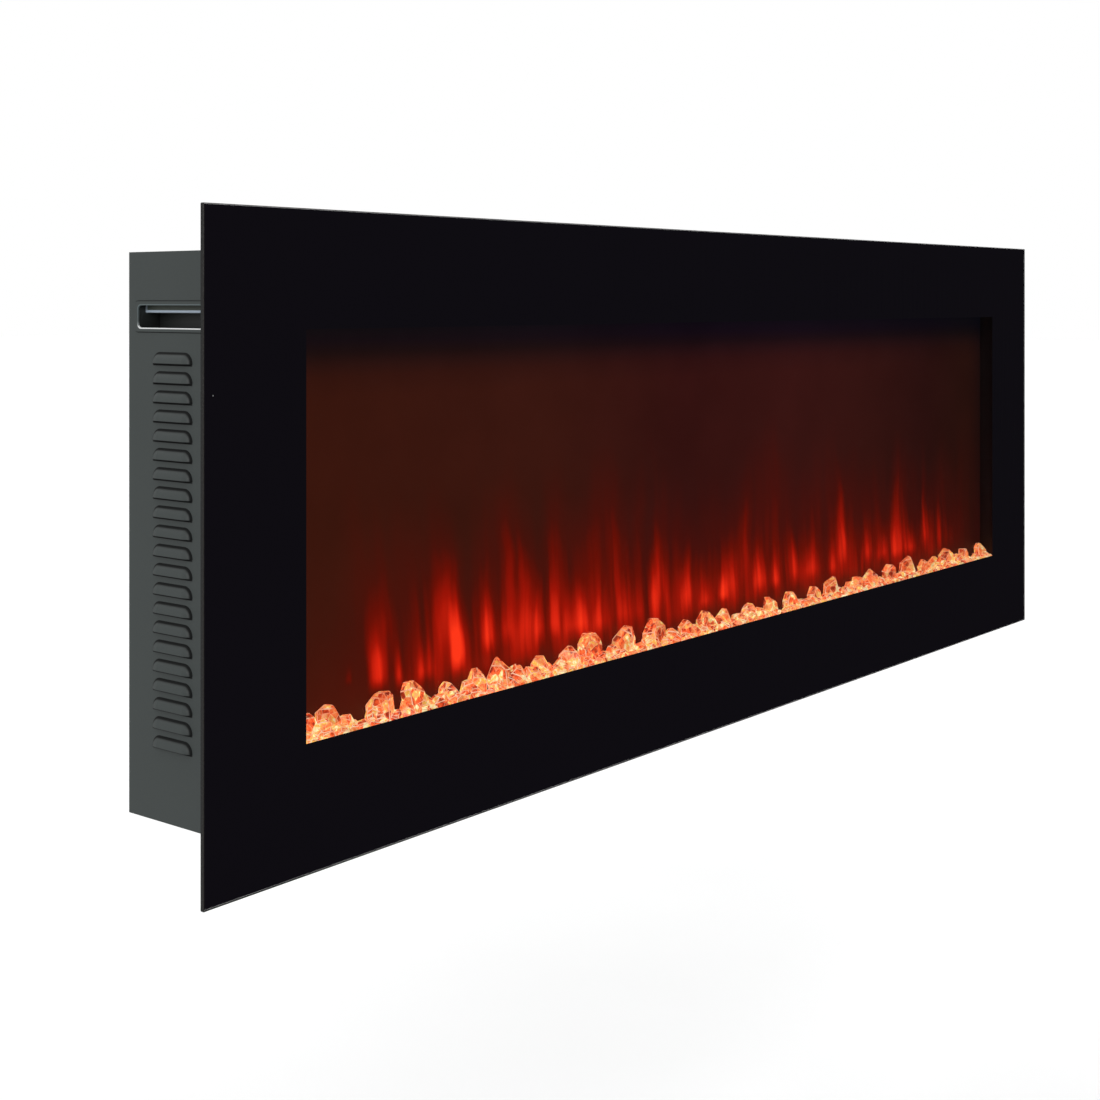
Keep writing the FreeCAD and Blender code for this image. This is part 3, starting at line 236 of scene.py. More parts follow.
class Tree(Graph):
    """The node tree of one new material, round its main shader."""

    def __init__(self, name):
        self.material = bpy.data.materials.new(name)
        self.material.use_nodes = True
        super().__init__(self.material.node_tree)
        self.shader = self.nodes["Principled BSDF"]

    def bump(self, height, strength, distance):
        """Bump linked to the shader's normal."""
        made = self.node("ShaderNodeBump")
        made.inputs["Strength"].default_value = strength
        made.inputs["Distance"].default_value = distance
        self.links.new(height, made.inputs["Height"])
        self.links.new(made.outputs[0], self.shader.inputs["Normal"])

    def set(self, **values):
        """Sets or links the main shader's inputs; underscores stand for spaces."""
        for key, value in values.items():
            self.feed(self.shader.inputs[key.replace("_", " ")], with_alpha(value))


def linear(r, g, b):
    """A linear colour from 8-bit display values."""
    def one(v):
        v /= 255.0
        return v / 12.92 if v <= 0.04045 else ((v + 0.055) / 1.055) ** 2.4
    return (one(r), one(g), one(b))


def greys(*stops):
    """Stops of a colour ramp from (position, grey level) pairs."""
    return [(at, (level, level, level)) for at, level in stops]


# ---- general materials ----

def orange_peel(t, strength, height):
    """Fine dimples of a sprayed coat as bump; gives back their pattern."""
    peel = t.noise(t.scaled_place(), PEEL_SCALE, 2.0)
    t.bump(peel, strength, height)
    return peel


def powder_coat(name, colour, rough=0.42):
    """Fine orange-peel powder coating with slight tone and sheen variation."""
    t = Tree(name)
    peel = orange_peel(t, 0.25, 0.00012)
    cloud = t.noise(t.scaled_place(), 7.0, 3.0)
    dark = tuple(c * 0.93 for c in colour)
    light = tuple(c * 1.07 for c in colour)
    t.set(Base_Color=t.ramp(cloud, [(0.3, dark), (0.7, light)]))
    t.set(Roughness=t.remap(peel, 0.3, 0.7, rough - 0.04, rough + 0.06))
    return t.material


def painted_corner_shade(t, reach, low, high, darkest):
    """Painted shade in the inner corners of a piece: 1 on open faces, less where they close in."""
    corner = t.node("ShaderNodeAmbientOcclusion", samples=8, only_local=True)
    corner.inputs["Distance"].default_value = reach
    return t.remap(corner.outputs["AO"], low, high, darkest, 1.0)


def louvre_painted_shade(t, y, z):
    """Painted shade round each louvre: along its steep rim, and a painted shadow in a band just under its
    flat edge.
    """
    sideways = t.split(t.node("ShaderNodeNewGeometry").outputs["Normal"])[0]
    # painted shade on the louvres' steep rims
    rim = t.remap(t.math("ABSOLUTE", sideways), RIM_STEEP, RIM_FLAT, 1.0, 0.0)
    # painted shadow in a band under each flat edge
    phase = t.math("FLOORED_MODULO", t.math("SUBTRACT", z, LOUVRE_BOTTOM - LOUVRE_SHADOW_BAND), LOUVRE_PITCH)
    aside = t.math("ABSOLUTE", t.math("SUBTRACT", y, LOUVRE_MIDDLE))
    gap_shadow = t.product(
        t.remap(phase, 0.0, 0.0004, 0.0, 1.0),
        t.remap(phase, LOUVRE_SHADOW_BAND + 0.0001, LOUVRE_SHADOW_BAND + 0.0006, 1.0, 0.0),
        t.remap(aside, LOUVRE_HALF - 0.001, LOUVRE_HALF + 0.0005, 1.0, 0.0),
        t.math("GREATER_THAN", z, LOUVRE_BOTTOM + LOUVRE_CLEAR),
        t.math("LESS_THAN", z, LOUVRE_TOP + LOUVRE_CLEAR),
    )
    return t.math("MAXIMUM", rim, gap_shadow)


def hold_rim_highlight(t, x, y, z):
    """Painted highlight along the rims of the hand-holds' openings: where it lies, and its colour there."""
    half_y = (HOLD_HIGH.y - HOLD_LOW.y) / 2 - HOLD_WALL - HOLD_ROUND
    half_z = HOLD_OPEN / 2 - HOLD_ROUND
    middle_y = (HOLD_HIGH.y + HOLD_LOW.y) / 2
    middle_z = HOLD_LOW.z + HOLD_WALL + HOLD_OPEN / 2
    away = t.distance(t.beyond(y, middle_y, half_y), t.beyond(z, middle_z, half_z))
    from_rim = t.math("ABSOLUTE", t.math("SUBTRACT", away, HOLD_ROUND))
    outer = t.math("GREATER_THAN", t.math("ABSOLUTE", x), -CASING_SIDE - 0.0005)
    opening_highlight = t.product(t.remap(from_rim, 0.0004, 0.0012, 1.0, 0.0), outer)
    height = t.remap(z, middle_z - 0.010, middle_z + 0.010, 0.0, 1.0, smooth=False)
    # Painted highlight colour: near white low on the rim, pale grey higher up.
    tone = t.ramp(height, [
        (0.06, linear(238, 240, 240)), (0.14, linear(150, 156, 156)), (0.3, linear(84, 92, 92)),
        (1.0, linear(92, 104, 106)),
    ])
    return opening_highlight, tone


def casing_paint():
    """Powder coat of the casing: darkened and dulled by painted shade round the louvres and in inner
    corners, with painted highlights round the hand-holds.
    """
    t = Tree("casing_paint")
    peel = orange_peel(t, 0.2, 0.0001)
    cloud = t.noise(t.scaled_place(), 5.0, 3.0)
    coat = t.ramp(cloud, [(0.3, linear(*PAINT_DARK)), (0.7, linear(*PAINT_LIGHT))])
    x, y, z = t.place()
    # Painted shade round the louvres, which also makes the coat duller there.
    lines = louvre_painted_shade(t, y, z)
    louvre_shade_level = t.math("MULTIPLY_ADD", lines, -0.90, 1.0)
    # Painted shade: the louvres' outlines and the inner corners darken the coat.
    coat = t.dim(coat, t.product(louvre_shade_level, painted_corner_shade(t, 0.0032, 0.42, 0.86, 0.45)))
    # Painted highlight round the rims of the hand-holds' openings.
    opening_highlight, tone = hold_rim_highlight(t, x, y, z)
    t.set(Base_Color=t.mix(opening_highlight, coat, tone))
    dull = t.product(lines, 0.95)
    t.set(Roughness=t.math("MAXIMUM", t.remap(peel, 0.3, 0.7, 0.38, 0.5), dull))
    return t.material


def grip_paint():
    """Hand-hold's pocket: its inside darker as painted shade, the lip's face lighter, and a pale painted
    highlight along the rolled edge of its finger lip and towards its rear end.
    """
    t = Tree("grip_paint")
    peel = orange_peel(t, 0.2, 0.0001)
    x, y, z = t.place()
    rear = HOLD_HIGH.y - HOLD_WALL
    near_face = t.math("GREATER_THAN", t.math("ABSOLUTE", x), -LIP_FACE - 2 * LIP_ROLL)
    facing = t.product(near_face, t.math("LESS_THAN", y, rear - 0.0001))
    on_lip = t.product(facing, t.math("GREATER_THAN", z, LIP_LOW))
    from_roll = t.math("ABSOLUTE", t.math("SUBTRACT", z, LIP_LOW + LIP_ROLL))
    # Painted highlight along the lip's rolled edge and towards its rear end.
    rolled = t.product(facing, t.remap(from_roll, 0.0007, 0.0014, 1.0, 0.0))
    end = t.remap(y, rear - 0.0036, rear - 0.0012, 0.0, 0.5)
    pale = t.math("MAXIMUM", rolled, t.product(on_lip, end))
    # Painted shade: the pocket's inside is darker than the casing's paint, and darker still in its corners.
    inside = t.dim(t.mix(on_lip, linear(44, 47, 46), linear(62, 68, 60)), painted_corner_shade(t, 0.012, 0.2, 0.8, 0.4))
    t.set(Base_Color=t.mix(pale, inside, linear(168, 182, 196)))
    t.set(Roughness=t.remap(peel, 0.3, 0.7, 0.4, 0.55))
    return t.material


def brushed(name, colour, rough=0.34):
    """Plated or brushed metal with long fine scratches and dull patches."""
    t = Tree(name)
    lines = t.noise(t.scaled_place(4, 90, 90), 14.0, 4.0, 0.7)
    cloud = t.noise(t.scaled_place(), 22.0, 4.0)
    dark = tuple(c * 0.8 for c in colour)
    t.set(Base_Color=t.ramp(cloud, [(0.35, dark), (0.65, colour)]), Metallic=1.0)
    t.set(Roughness=t.remap(lines, 0.3, 0.7, rough - 0.08, rough + 0.12))
    t.bump(lines, 0.12, 0.0001)
    return t.material


def moulded(name, colour, rough=0.5, grain=0.25):
    """Moulded plastic with a fine spark-eroded texture."""
    t = Tree(name)
    fine = t.noise(t.scaled_place(), 1400.0, 2.0)
    cloud = t.noise(t.scaled_place(), 30.0, 2.0)
    dark = tuple(c * 0.9 for c in colour)
    t.set(Base_Color=t.ramp(cloud, [(0.35, dark), (0.65, colour)]))
    t.set(Roughness=t.remap(fine, 0.3, 0.7, rough - 0.06, rough + 0.08))
    t.bump(fine, grain, 0.0001)
    return t.material


def rubber(name):
    """Matt black rubber with a dusty bloom."""
    t = Tree(name)
    cloud = t.noise(t.scaled_place(), 60.0, 4.0)
    t.set(Base_Color=t.ramp(cloud, [(0.3, (0.012, 0.012, 0.012)), (0.8, (0.03, 0.03, 0.029))]))
    t.set(Roughness=t.remap(cloud, 0.3, 0.7, 0.7, 0.9))
    t.bump(cloud, 0.2, 0.0002)
    return t.material


def circuit_board(name):
    """Green solder resist with darker copper tracks under it."""
    t = Tree(name)
    tracks = t.node("ShaderNodeTexBrick", offset=0.5)
    t.links.new(t.scaled_place(), tracks.inputs["Vector"])
    tracks.inputs["Scale"].default_value = 120.0
    tracks.inputs["Color1"].default_value = (0.012, 0.12, 0.045, 1)
    tracks.inputs["Color2"].default_value = (0.02, 0.17, 0.07, 1)
    tracks.inputs["Mortar"].default_value = (0.006, 0.07, 0.03, 1)
    t.set(Base_Color=tracks.outputs["Color"], Roughness=0.35)
    t.bump(tracks.outputs["Fac"], 0.2, 0.00005)
    return t.material


# ---- glass ----

def pane_glass():
    """Clear tempered glass with dark ground edges and a painted highlight as a light line along the front
    arris.
    """
    t = Tree("pane_glass")
    t.set(Transmission_Weight=1.0, IOR=1.46, Roughness=0.0, Base_Color=(0.93, 0.93, 0.93))
    forward = t.split(t.node("ShaderNodeNewGeometry").outputs["True Normal"])[1]
    edge = t.math("LESS_THAN", t.math("ABSOLUTE", forward), 0.9)
    grind = t.noise(t.scaled_place(), 600.0, 3.0)
    y = t.place()[1]
    # Painted highlight: a light line along the front arris of the edges.
    arris = t.remap(y, GLASS_LOW.y + 0.0003, GLASS_LOW.y + 0.0011, 1.0, 0.0)
    ground = t.node("ShaderNodeBsdfPrincipled")
    t.feed(ground.inputs["Base Color"], t.mix(arris, (0.008, 0.008, 0.008), (0.030, 0.028, 0.026)))
    t.feed(ground.inputs["Roughness"], t.remap(grind, 0.3, 0.7, 0.12, 0.3))
    mixed = t.mix_shaders(edge, t.shader.outputs[0], ground.outputs[0])
    t.links.new(mixed, t.nodes["Material Output"].inputs["Surface"])
    return t.material


def dark_dot():
    """Dark filter over the receiver, whose lens shows as a small grey spot in the middle, painted as light:
    the spot glows.
    """
    t = Tree("dark_dot")
    x, _, z = t.place()
    middle = (DOT_LOW + DOT_HIGH) / 2
    away = t.distance(t.math("SUBTRACT", x, middle.x), t.math("SUBTRACT", z, middle.z))
    spot = t.remap(away, 0.0005, 0.0008, 1.0, 0.0)
    # Painted light: the grey spot is emission.
    t.set(Base_Color=(0.004, 0.003, 0.004), Roughness=0.3, Emission_Strength=1.0)
    t.set(Emission_Color=t.mix(spot, (0.0, 0.0, 0.0), linear(112, 112, 114)))
    return t.material


def black_print():
    """Fired black ceramic ink, seen through the pane; its faint emission is painted light, standing in for
    the light that reaches the print through the glass.
    """
    t = Tree("black_print")
    fine = t.noise(t.scaled_place(), 300.0, 2.0)
    t.set(Base_Color=t.ramp(fine, [(0.3, (0.0030, 0.0024, 0.0040)), (0.7, (0.0036, 0.0029, 0.0048))]))
    # Painted light: a faint emission lightens the black.
    t.set(Roughness=0.5, Specular_IOR_Level=0.2, Emission_Color=linear(15, 13, 18), Emission_Strength=1.0)
    return t.material


# ---- flames on the screen ----

# One row per tongue, in metres above the ember diffuser:
# place along the screen, lean of the tip, foot height, tip height, half width, brightness.
TONGUES = [
    (-0.570, 0.000, 0.036, 0.064, 0.004, 0.26), (-0.534, -0.006, 0.026, 0.092, 0.009, 0.66),
    (-0.508, -0.010, 0.024, 0.090, 0.005, 0.66), (-0.474, -0.004, 0.024, 0.080, 0.009, 0.58),
    (-0.431, -0.006, 0.026, 0.118, 0.009, 0.92), (-0.434, -0.016, 0.036, 0.185, 0.016, 0.36),
    (-0.532, -0.015, 0.036, 0.165, 0.012, 0.34), (-0.384, -0.012, 0.036, 0.125, 0.010, 0.70),
    (-0.388, -0.016, 0.045, 0.175, 0.014, 0.34),
    (-0.360, -0.006, 0.040, 0.130, 0.008, 0.36), (-0.328, -0.004, 0.030, 0.200, 0.020, 0.36),
    (-0.308, -0.008, 0.032, 0.130, 0.006, 0.85), (-0.286, -0.012, 0.034, 0.120, 0.008, 0.55),
    (-0.250, -0.012, 0.029, 0.110, 0.015, 0.85), (-0.208, -0.003, 0.029, 0.092, 0.013, 0.42),
    (-0.176, -0.004, 0.032, 0.096, 0.020, 0.16), (-0.145, -0.004, 0.030, 0.084, 0.010, 0.22),
    (-0.111, -0.014, 0.028, 0.185, 0.010, 0.52), (-0.052, -0.006, 0.028, 0.130, 0.012, 0.45),
    (-0.016, -0.010, 0.025, 0.088, 0.012, 0.62), (0.028, -0.006, 0.028, 0.135, 0.024, 0.32),
    (0.018, -0.006, 0.029, 0.072, 0.008, 0.50), (0.099, -0.008, 0.028, 0.118, 0.014, 0.62),
    (0.130, -0.004, 0.029, 0.086, 0.010, 0.56), (0.177, -0.018, 0.028, 0.120, 0.014, 0.52),
    (0.217, -0.002, 0.030, 0.092, 0.022, 0.30), (0.264, -0.005, 0.028, 0.085, 0.009, 0.38),
    (0.289, -0.014, 0.027, 0.180, 0.010, 0.34), (0.357, -0.003, 0.032, 0.112, 0.012, 0.45),
    (0.394, -0.003, 0.030, 0.086, 0.013, 0.52), (0.432, -0.006, 0.029, 0.082, 0.009, 0.36),
    (0.456, -0.008, 0.029, 0.088, 0.012, 0.32),
    (0.479, -0.006, 0.029, 0.082, 0.012, 0.50), (0.517, 0.000, 0.033, 0.145, 0.010, 0.45),
    (0.562, 0.000, 0.028, 0.135, 0.007, 0.25), (0.592, -0.003, 0.028, 0.096, 0.013, 0.14),
]

# Thin faint wisps that rise above the tongues, in rows of the same kind.
WISPS = [
    (-0.520, -0.012, 0.060, 0.200, 0.008, 0.22), (-0.455, -0.015, 0.060, 0.220, 0.011, 0.12),
    (-0.400, -0.012, 0.060, 0.230, 0.009, 0.13), (-0.345, -0.010, 0.070, 0.230, 0.015, 0.20),
    (-0.290, -0.010, 0.050, 0.215, 0.012, 0.20), (-0.200, -0.008, 0.050, 0.195, 0.014, 0.14),
    (-0.100, -0.030, 0.040, 0.230, 0.007, 0.42), (-0.020, -0.010, 0.050, 0.190, 0.012, 0.18),
    (0.060, -0.012, 0.050, 0.200, 0.010, 0.18), (0.170, -0.020, 0.040, 0.190, 0.010, 0.22),
    (0.298, -0.028, 0.040, 0.225, 0.007, 0.34), (0.380, -0.010, 0.050, 0.190, 0.012, 0.18),
    (0.446, -0.010, 0.040, 0.200, 0.028, 0.18), (0.515, -0.004, 0.050, 0.200, 0.009, 0.18),
]

TONGUE_FADE = 2.1                     # how fast the tongues fade upwards
WISP_FADE = 1.2                       # and the wisps


def tongue(t, x, z, row, sharpness):
    """Brightness of one tongue: a rounded foot, brightest low down, drawn out to a soft leaning tip."""
    at, lean, foot, tip, half, power = row
    rise = tip - foot
    up = t.math("MULTIPLY_ADD", z, 1 / rise, -foot / rise)
    leant = t.math("MULTIPLY_ADD", up, -lean, x)
    aside = t.math("ABSOLUTE", t.math("MULTIPLY_ADD", leant, 1 / half, -at / half))
    waist = t.remap(up, 0.0, 1.1, 1.0, 0.45)
    across = t.remap(t.math("DIVIDE", aside, waist), 0.1, 1.8, 0.72 * power, 0.0)
    start = t.remap(up, -0.10, 0.18, 0.0, 1.0)
    fade = t.math("POWER", t.remap(up, 0.08, 1.15, 1.0, 0.0), sharpness)
    return t.product(across, t.product(start, fade))


def screen_noise(t, x, z, across, upright, layer):
    """Noise on the screen with its own scale across and upright; each layer has another pattern."""
    return t.noise(t.combine(t.product(x, across), layer, t.product(z, upright)), 1.0, 2.0)


def flame_haze(t, x, bent, z):
    """Glow behind the tongues: ragged on top, faint at the foot and towards the screen's ends."""
    clumps = screen_noise(t, bent, z, 13.0, 1.5, 0.0)
    ceiling = t.remap(clumps, 0.32, 0.68, 0.15, 0.25, smooth=False)
    below = t.math("DIVIDE", t.math("SUBTRACT", ceiling, z), 0.17)
    foot = t.remap(z, -0.004, 0.030, 0.25, 1.0)
    ends = t.ramp(t.remap(x, -0.62, 0.66, 0.0, 1.0, smooth=False), greys(
        (0.0, 0.05), (0.06, 0.35), (0.12, 1.0), (0.38, 1.0), (0.60, 0.92), (0.88, 0.92), (0.93, 0.7),
        (1.0, 0.1),
    ))
    return t.product(t.remap(below, 0.0, 1.0, 0.0, 0.44), foot, ends)


def flame_streaks(t, x, bent, z):
    """Fine upright streaks in the light, which dims higher up except at the left end."""
    slant = t.math("MULTIPLY_ADD", z, 0.08, bent)
    broad = screen_noise(t, slant, z, 42.0, 4.0, 0.0)
    fine = screen_noise(t, slant, z, 130.0, 5.0, 7.0)
    streaks = t.product(t.remap(broad, 0.32, 0.62, 0.60, 1.12), t.remap(fine, 0.3, 0.7, 0.90, 1.07))
    upper = t.product(t.remap(z, 0.040, 0.100, 0.0, 0.30), t.remap(x, -0.46, -0.36, 0.0, 1.0))
    return t.product(streaks, t.math("SUBTRACT", 1.0, upper))


def flame_light(t, x, z):
    """Tongues and wisps over the haze, all wandering sideways and broken up by streaks."""
    wander = t.math("SUBTRACT", screen_noise(t, x, z, 14.0, 9.0, 3.0), 0.5)
    bent = t.math("ADD", x, t.product(wander, t.product(z, 0.22)))
    flames = [tongue(t, bent, z, row, TONGUE_FADE) for row in TONGUES]
    flames += [tongue(t, bent, z, row, WISP_FADE) for row in WISPS]
    total = flames[0]
    for flame in flames[1:]:
        total = t.math("ADD", total, flame)
    total = t.math("ADD", total, flame_haze(t, x, bent, z))
    return t.product(total, flame_streaks(t, x, bent, z))


def screen_glow(t, x, z_row):
    """Dull brown-red glow of the smoked screen, black along its top and dimmer to the right."""
    height = t.remap(z_row, WINDOW_LOW, WINDOW_HIGH, 0.0, 1.0, smooth=False)
    glow = t.ramp(height, [
        (0.0, linear(70, 20, 12)), (0.25, linear(60, 21, 14)), (0.50, linear(57, 21, 14)),
        (0.82, linear(57, 22, 16)), (0.875, linear(51, 20, 16)), (0.905, linear(42, 18, 17)),
        (0.935, linear(28, 14, 16)), (0.965, linear(21, 12, 19)), (1.0, linear(16, 12, 18)),
    ])
    across = t.remap(x, SCREEN_LOW.x, SCREEN_HIGH.x, 0.0, 1.0, smooth=False)
    tint = t.ramp(across, [
        (0.0, (0.94, 0.94, 0.70)), (0.28, (0.98, 0.98, 0.92)), (0.45, (0.80, 0.68, 0.92)),
        (0.62, (0.96, 0.84, 1.12)), (0.76, (0.82, 0.78, 0.98)), (0.87, (0.58, 0.60, 0.80)),
        (0.968, (0.52, 0.66, 0.66)), (0.990, (0.38, 0.52, 0.62)), (1.0, (0.28, 0.44, 0.60)),
    ])
    cloud = t.noise(t.scaled_place(), 14.0, 3.0)
    patches = t.ramp(cloud, greys((0.3, 0.92), (0.7, 1.08)))
    return t.mix(1.0, t.mix(1.0, glow, tint, "MULTIPLY"), patches, "MULTIPLY")


def flame_screen():
    """Smoked screen with the flames thrown on it; its own glow drowns in their light."""
    t = Tree("flame_screen")
    x, _, z_row = t.place()
    z = t.math("SUBTRACT", z_row, DIFFUSER_HIGH.z)
    light = flame_light(t, x, z)
    flames = t.ramp(light, [
        (0.0, (0.0, 0.0, 0.0)), (0.15, (0.045, 0.0020, 0.0008)), (0.30, (0.145, 0.0046, 0.0012)),
        (0.50, (0.34, 0.0062, 0.0014)), (0.72, (0.70, 0.0170, 0.0045)), (1.0, (1.0, 0.038, 0.009)),
    ])
    dark_share = t.math("SUBTRACT", 1.0, t.math("MULTIPLY", light, 3.6, clamp=True))
    glow = t.dim(screen_glow(t, x, z_row), dark_share)
    t.set(Base_Color=(0.002, 0.001, 0.001), Roughness=0.6, Specular_IOR_Level=0.1)
    t.set(Emission_Color=t.mix(1.0, glow, flames, "ADD"), Emission_Strength=1.18)
    return t.material


def diffuser_glow():
    """Frosted strip, brightest over each lamp below it."""
    t = Tree("diffuser_glow")
    spot = t.math("SINE", t.product(t.place()[0], math.tau / LAMP_PITCH))
    level = t.remap(spot, -1.0, 1.0, 0.0, 1.0)
    colour = t.ramp(level, [(0.0, (0.75, 0.07, 0.012)), (1.0, (1.0, 0.28, 0.07))])
    t.set(Base_Color=(0.8, 0.35, 0.2), Roughness=0.5, Emission_Color=colour, Emission_Strength=0.7)
    return t.material


# ---- crystals ----

PATCH_SCALE = 165.0                    # patches of painted light in the stones per metre
BARE_END = 0.012                      # of the diffuser, without stones
SHRINK_RIGHT = 0.10                   # half of the share by which the stones get smaller to the right
BEVEL_SHARE = 0.032                   # of a stone's width
FLAT_ANGLE = math.radians(6)          # facets closer than this are joined

# Rows from the back to the front: depth from the diffuser's front edge, width, height, step, sideways play.
STONE_ROWS = [
    (0.0200, 0.0225, 0.0300, 0.0500, 0.0100),
    (0.0190, 0.0165, 0.0140, 0.0290, 0.0060),
    (0.0120, 0.0150, 0.0110, 0.0190, 0.0030),
    (0.0062, 0.0130, 0.0080, 0.0155, 0.0020),
]


def crystal_body():
    """Cut glass whose glow is painted light: emission stands in for the diffuser's light through the
    stones, in flat patches and facets each at its own level, brighter low down, with painted shade in inner
    corners and pale painted highlights along the patches' edges.
    """
    t = Tree("crystal_body")
    facet = t.node("ShaderNodeTexWhiteNoise", noise_dimensions="3D")
    t.links.new(t.node("ShaderNodeNewGeometry").outputs["True Normal"], facet.inputs["Vector"])
    where = t.scaled_place(1.0, 1.0, 0.8)
    glow_cells = []
    for feature in ("F1", "DISTANCE_TO_EDGE"):
        cells = t.node("ShaderNodeTexVoronoi", feature=feature)
        t.links.new(where, cells.inputs["Vector"])
        cells.inputs["Scale"].default_value = PATCH_SCALE
        glow_cells.append(cells)
    patch = t.split(glow_cells[0].outputs["Color"])[0]
    x, _, z = t.place()
    # Painted light: brighter low down, nearest the diffuser.
    light_from_below = t.remap(z, DIFFUSER_HIGH.z + 0.002, DIFFUSER_HIGH.z + 0.028, 0.06, -0.08)
    spread = t.noise(t.combine(t.product(x, 45.0), 0.0, 0.0), 1.0, 2.0)
    cloud = t.remap(t.noise(where, 260.0, 2.0), 0.30, 0.70, 0.0, 1.0, smooth=False)
    glow_patchwork = t.math("MULTIPLY_ADD", patch, 0.60, t.product(cloud, 0.42))
    value = t.math("ADD", glow_patchwork, t.math("MULTIPLY_ADD", spread, 0.4, t.math("SUBTRACT", light_from_below, 0.2)))
    glow = t.ramp(value, [
        (0.10, (0.10, 0.008, 0.005)), (0.22, (0.36, 0.022, 0.010)), (0.28, (0.72, 0.065, 0.016)),
        (0.42, (1.0, 0.15, 0.040)), (0.54, (1.0, 0.28, 0.085)), (0.64, (1.0, 0.42, 0.15)),
        (0.72, (1.0, 0.56, 0.05)), (0.84, (1.0, 0.95, 0.50)),
    ])
    tone = t.math("MULTIPLY_ADD", facet.outputs["Value"], 0.6, 0.62)
    # Painted light and shade: each facet at its own level, darker in the inner corners.
    glow = t.dim(glow, t.product(tone, painted_corner_shade(t, 0.0035, 0.15, 0.75, 0.50)))
    # Painted highlight: pale lines along the patches' edges.
    line = t.remap(glow_cells[1].outputs["Distance"], 0.01, 0.05, 0.5, 0.0)
    glow = t.mix(line, glow, (1.0, 0.50, 0.28))
    t.set(Base_Color=(0.35, 0.09, 0.04), Transmission_Weight=0.2, IOR=1.5, Roughness=0.05)
    # Painted light: the stones glow by emission.
    t.set(Emission_Color=glow, Emission_Strength=1.0)
    return t.material


def crystal_edge():
    """Bevelled edges of the cut stones, as painted highlights: pale lines that glow, brighter low down."""
    t = Tree("crystal_edge")
    cloud = t.noise(t.scaled_place(), 160.0, 2.0)
    low_glow = t.remap(t.place()[2], DIFFUSER_HIGH.z, DIFFUSER_HIGH.z + 0.03, 0.15, -0.1)
    glow = t.ramp(t.math("ADD", cloud, low_glow), [
        (0.30, (0.85, 0.16, 0.05)), (0.5, (1.0, 0.46, 0.26)), (0.7, (1.0, 0.72, 0.50)),
    ])
    # Painted highlight: the edges glow by emission.
    t.set(Base_Color=(0.4, 0.15, 0.1), Roughness=0.2, Emission_Color=glow, Emission_Strength=0.95)
    return t.material


def trim(stone, direction, reach):
    """Cuts off what lies past a plane and closes the cut with one flat facet."""
    everything = stone.verts[:] + stone.edges[:] + stone.faces[:]
    bmesh.ops.bisect_plane(stone, geom=everything, plane_co=direction * reach, plane_no=direction,
                           clear_outer=True)
    rim = [edge for edge in stone.edges if edge.is_boundary]
    bmesh.ops.holes_fill(stone, edges=rim, sides=0)


def cut_stone(rng, width, height):
    """One stone standing on its base: a block with a roof of three steep cuts and one chamfer."""
    stone = bmesh.new()
    bmesh.ops.create_cube(stone, size=1.0)
    depth = width * rng.uniform(0.55, 0.75)
    bmesh.ops.scale(stone, vec=(width, depth, height), verts=stone.verts)
    cuts = []
    for step in range(3):
        angle = step * math.tau / 4 + rng.uniform(-0.25, 0.25)
        roof = Vector((math.cos(angle), -math.sin(angle), rng.uniform(0.35, 1.1)))
        cuts.append((roof, rng.uniform(0.66, 0.82) if step == 1 else rng.uniform(0.42, 0.74)))
    angle = rng.uniform(0, math.tau)
    chamfer = Vector((math.cos(angle), math.sin(angle), rng.uniform(-0.6, 0.2)))
    cuts.append((chamfer, rng.uniform(0.74, 0.90)))
    for cut, share in cuts:
        direction = cut.normalized()
        furthest = max(vert.co.dot(direction) for vert in stone.verts)
        trim(stone, direction, furthest * share)
    bmesh.ops.dissolve_limit(stone, angle_limit=FLAT_ANGLE, verts=stone.verts, edges=stone.edges)
    bmesh.ops.bevel(stone, geom=stone.edges[:], offset=width * BEVEL_SHARE, segments=1, affect="EDGES",
                    clamp_overlap=True, material=1)
    return stone


def turned(rng, row):
    """A random turn about Z with a slight tilt, more in the front rows."""
    tilt = 0.20 + 0.10 * row
    turn = Matrix.Rotation(rng.uniform(-1.3, 0.1), 3, "Z")
    sideways = Matrix.Rotation(rng.uniform(-tilt, tilt), 3, "Y")
    forward = Matrix.Rotation(rng.uniform(-tilt, tilt), 3, "X")
    return turn @ sideways @ forward


def set_down(rng, stone, x, depth, play):
    """Moves a stone to its place on the diffuser, with a little play."""
    lowest = min(vert.co.z for vert in stone.verts)
    place = Vector((x + rng.uniform(-play, play), DIFFUSER_LOW.y + depth + rng.uniform(-0.001, 0.001),
                    DIFFUSER_HIGH.z - lowest))
    bmesh.ops.translate(stone, verts=stone.verts, vec=place)


def join(bed, stone):
    """Adds a finished stone to the bed."""
    data = bpy.data.meshes.new("stone")
    stone.to_mesh(data)
    stone.free()
    bed.from_mesh(data)
    bpy.data.meshes.remove(data)


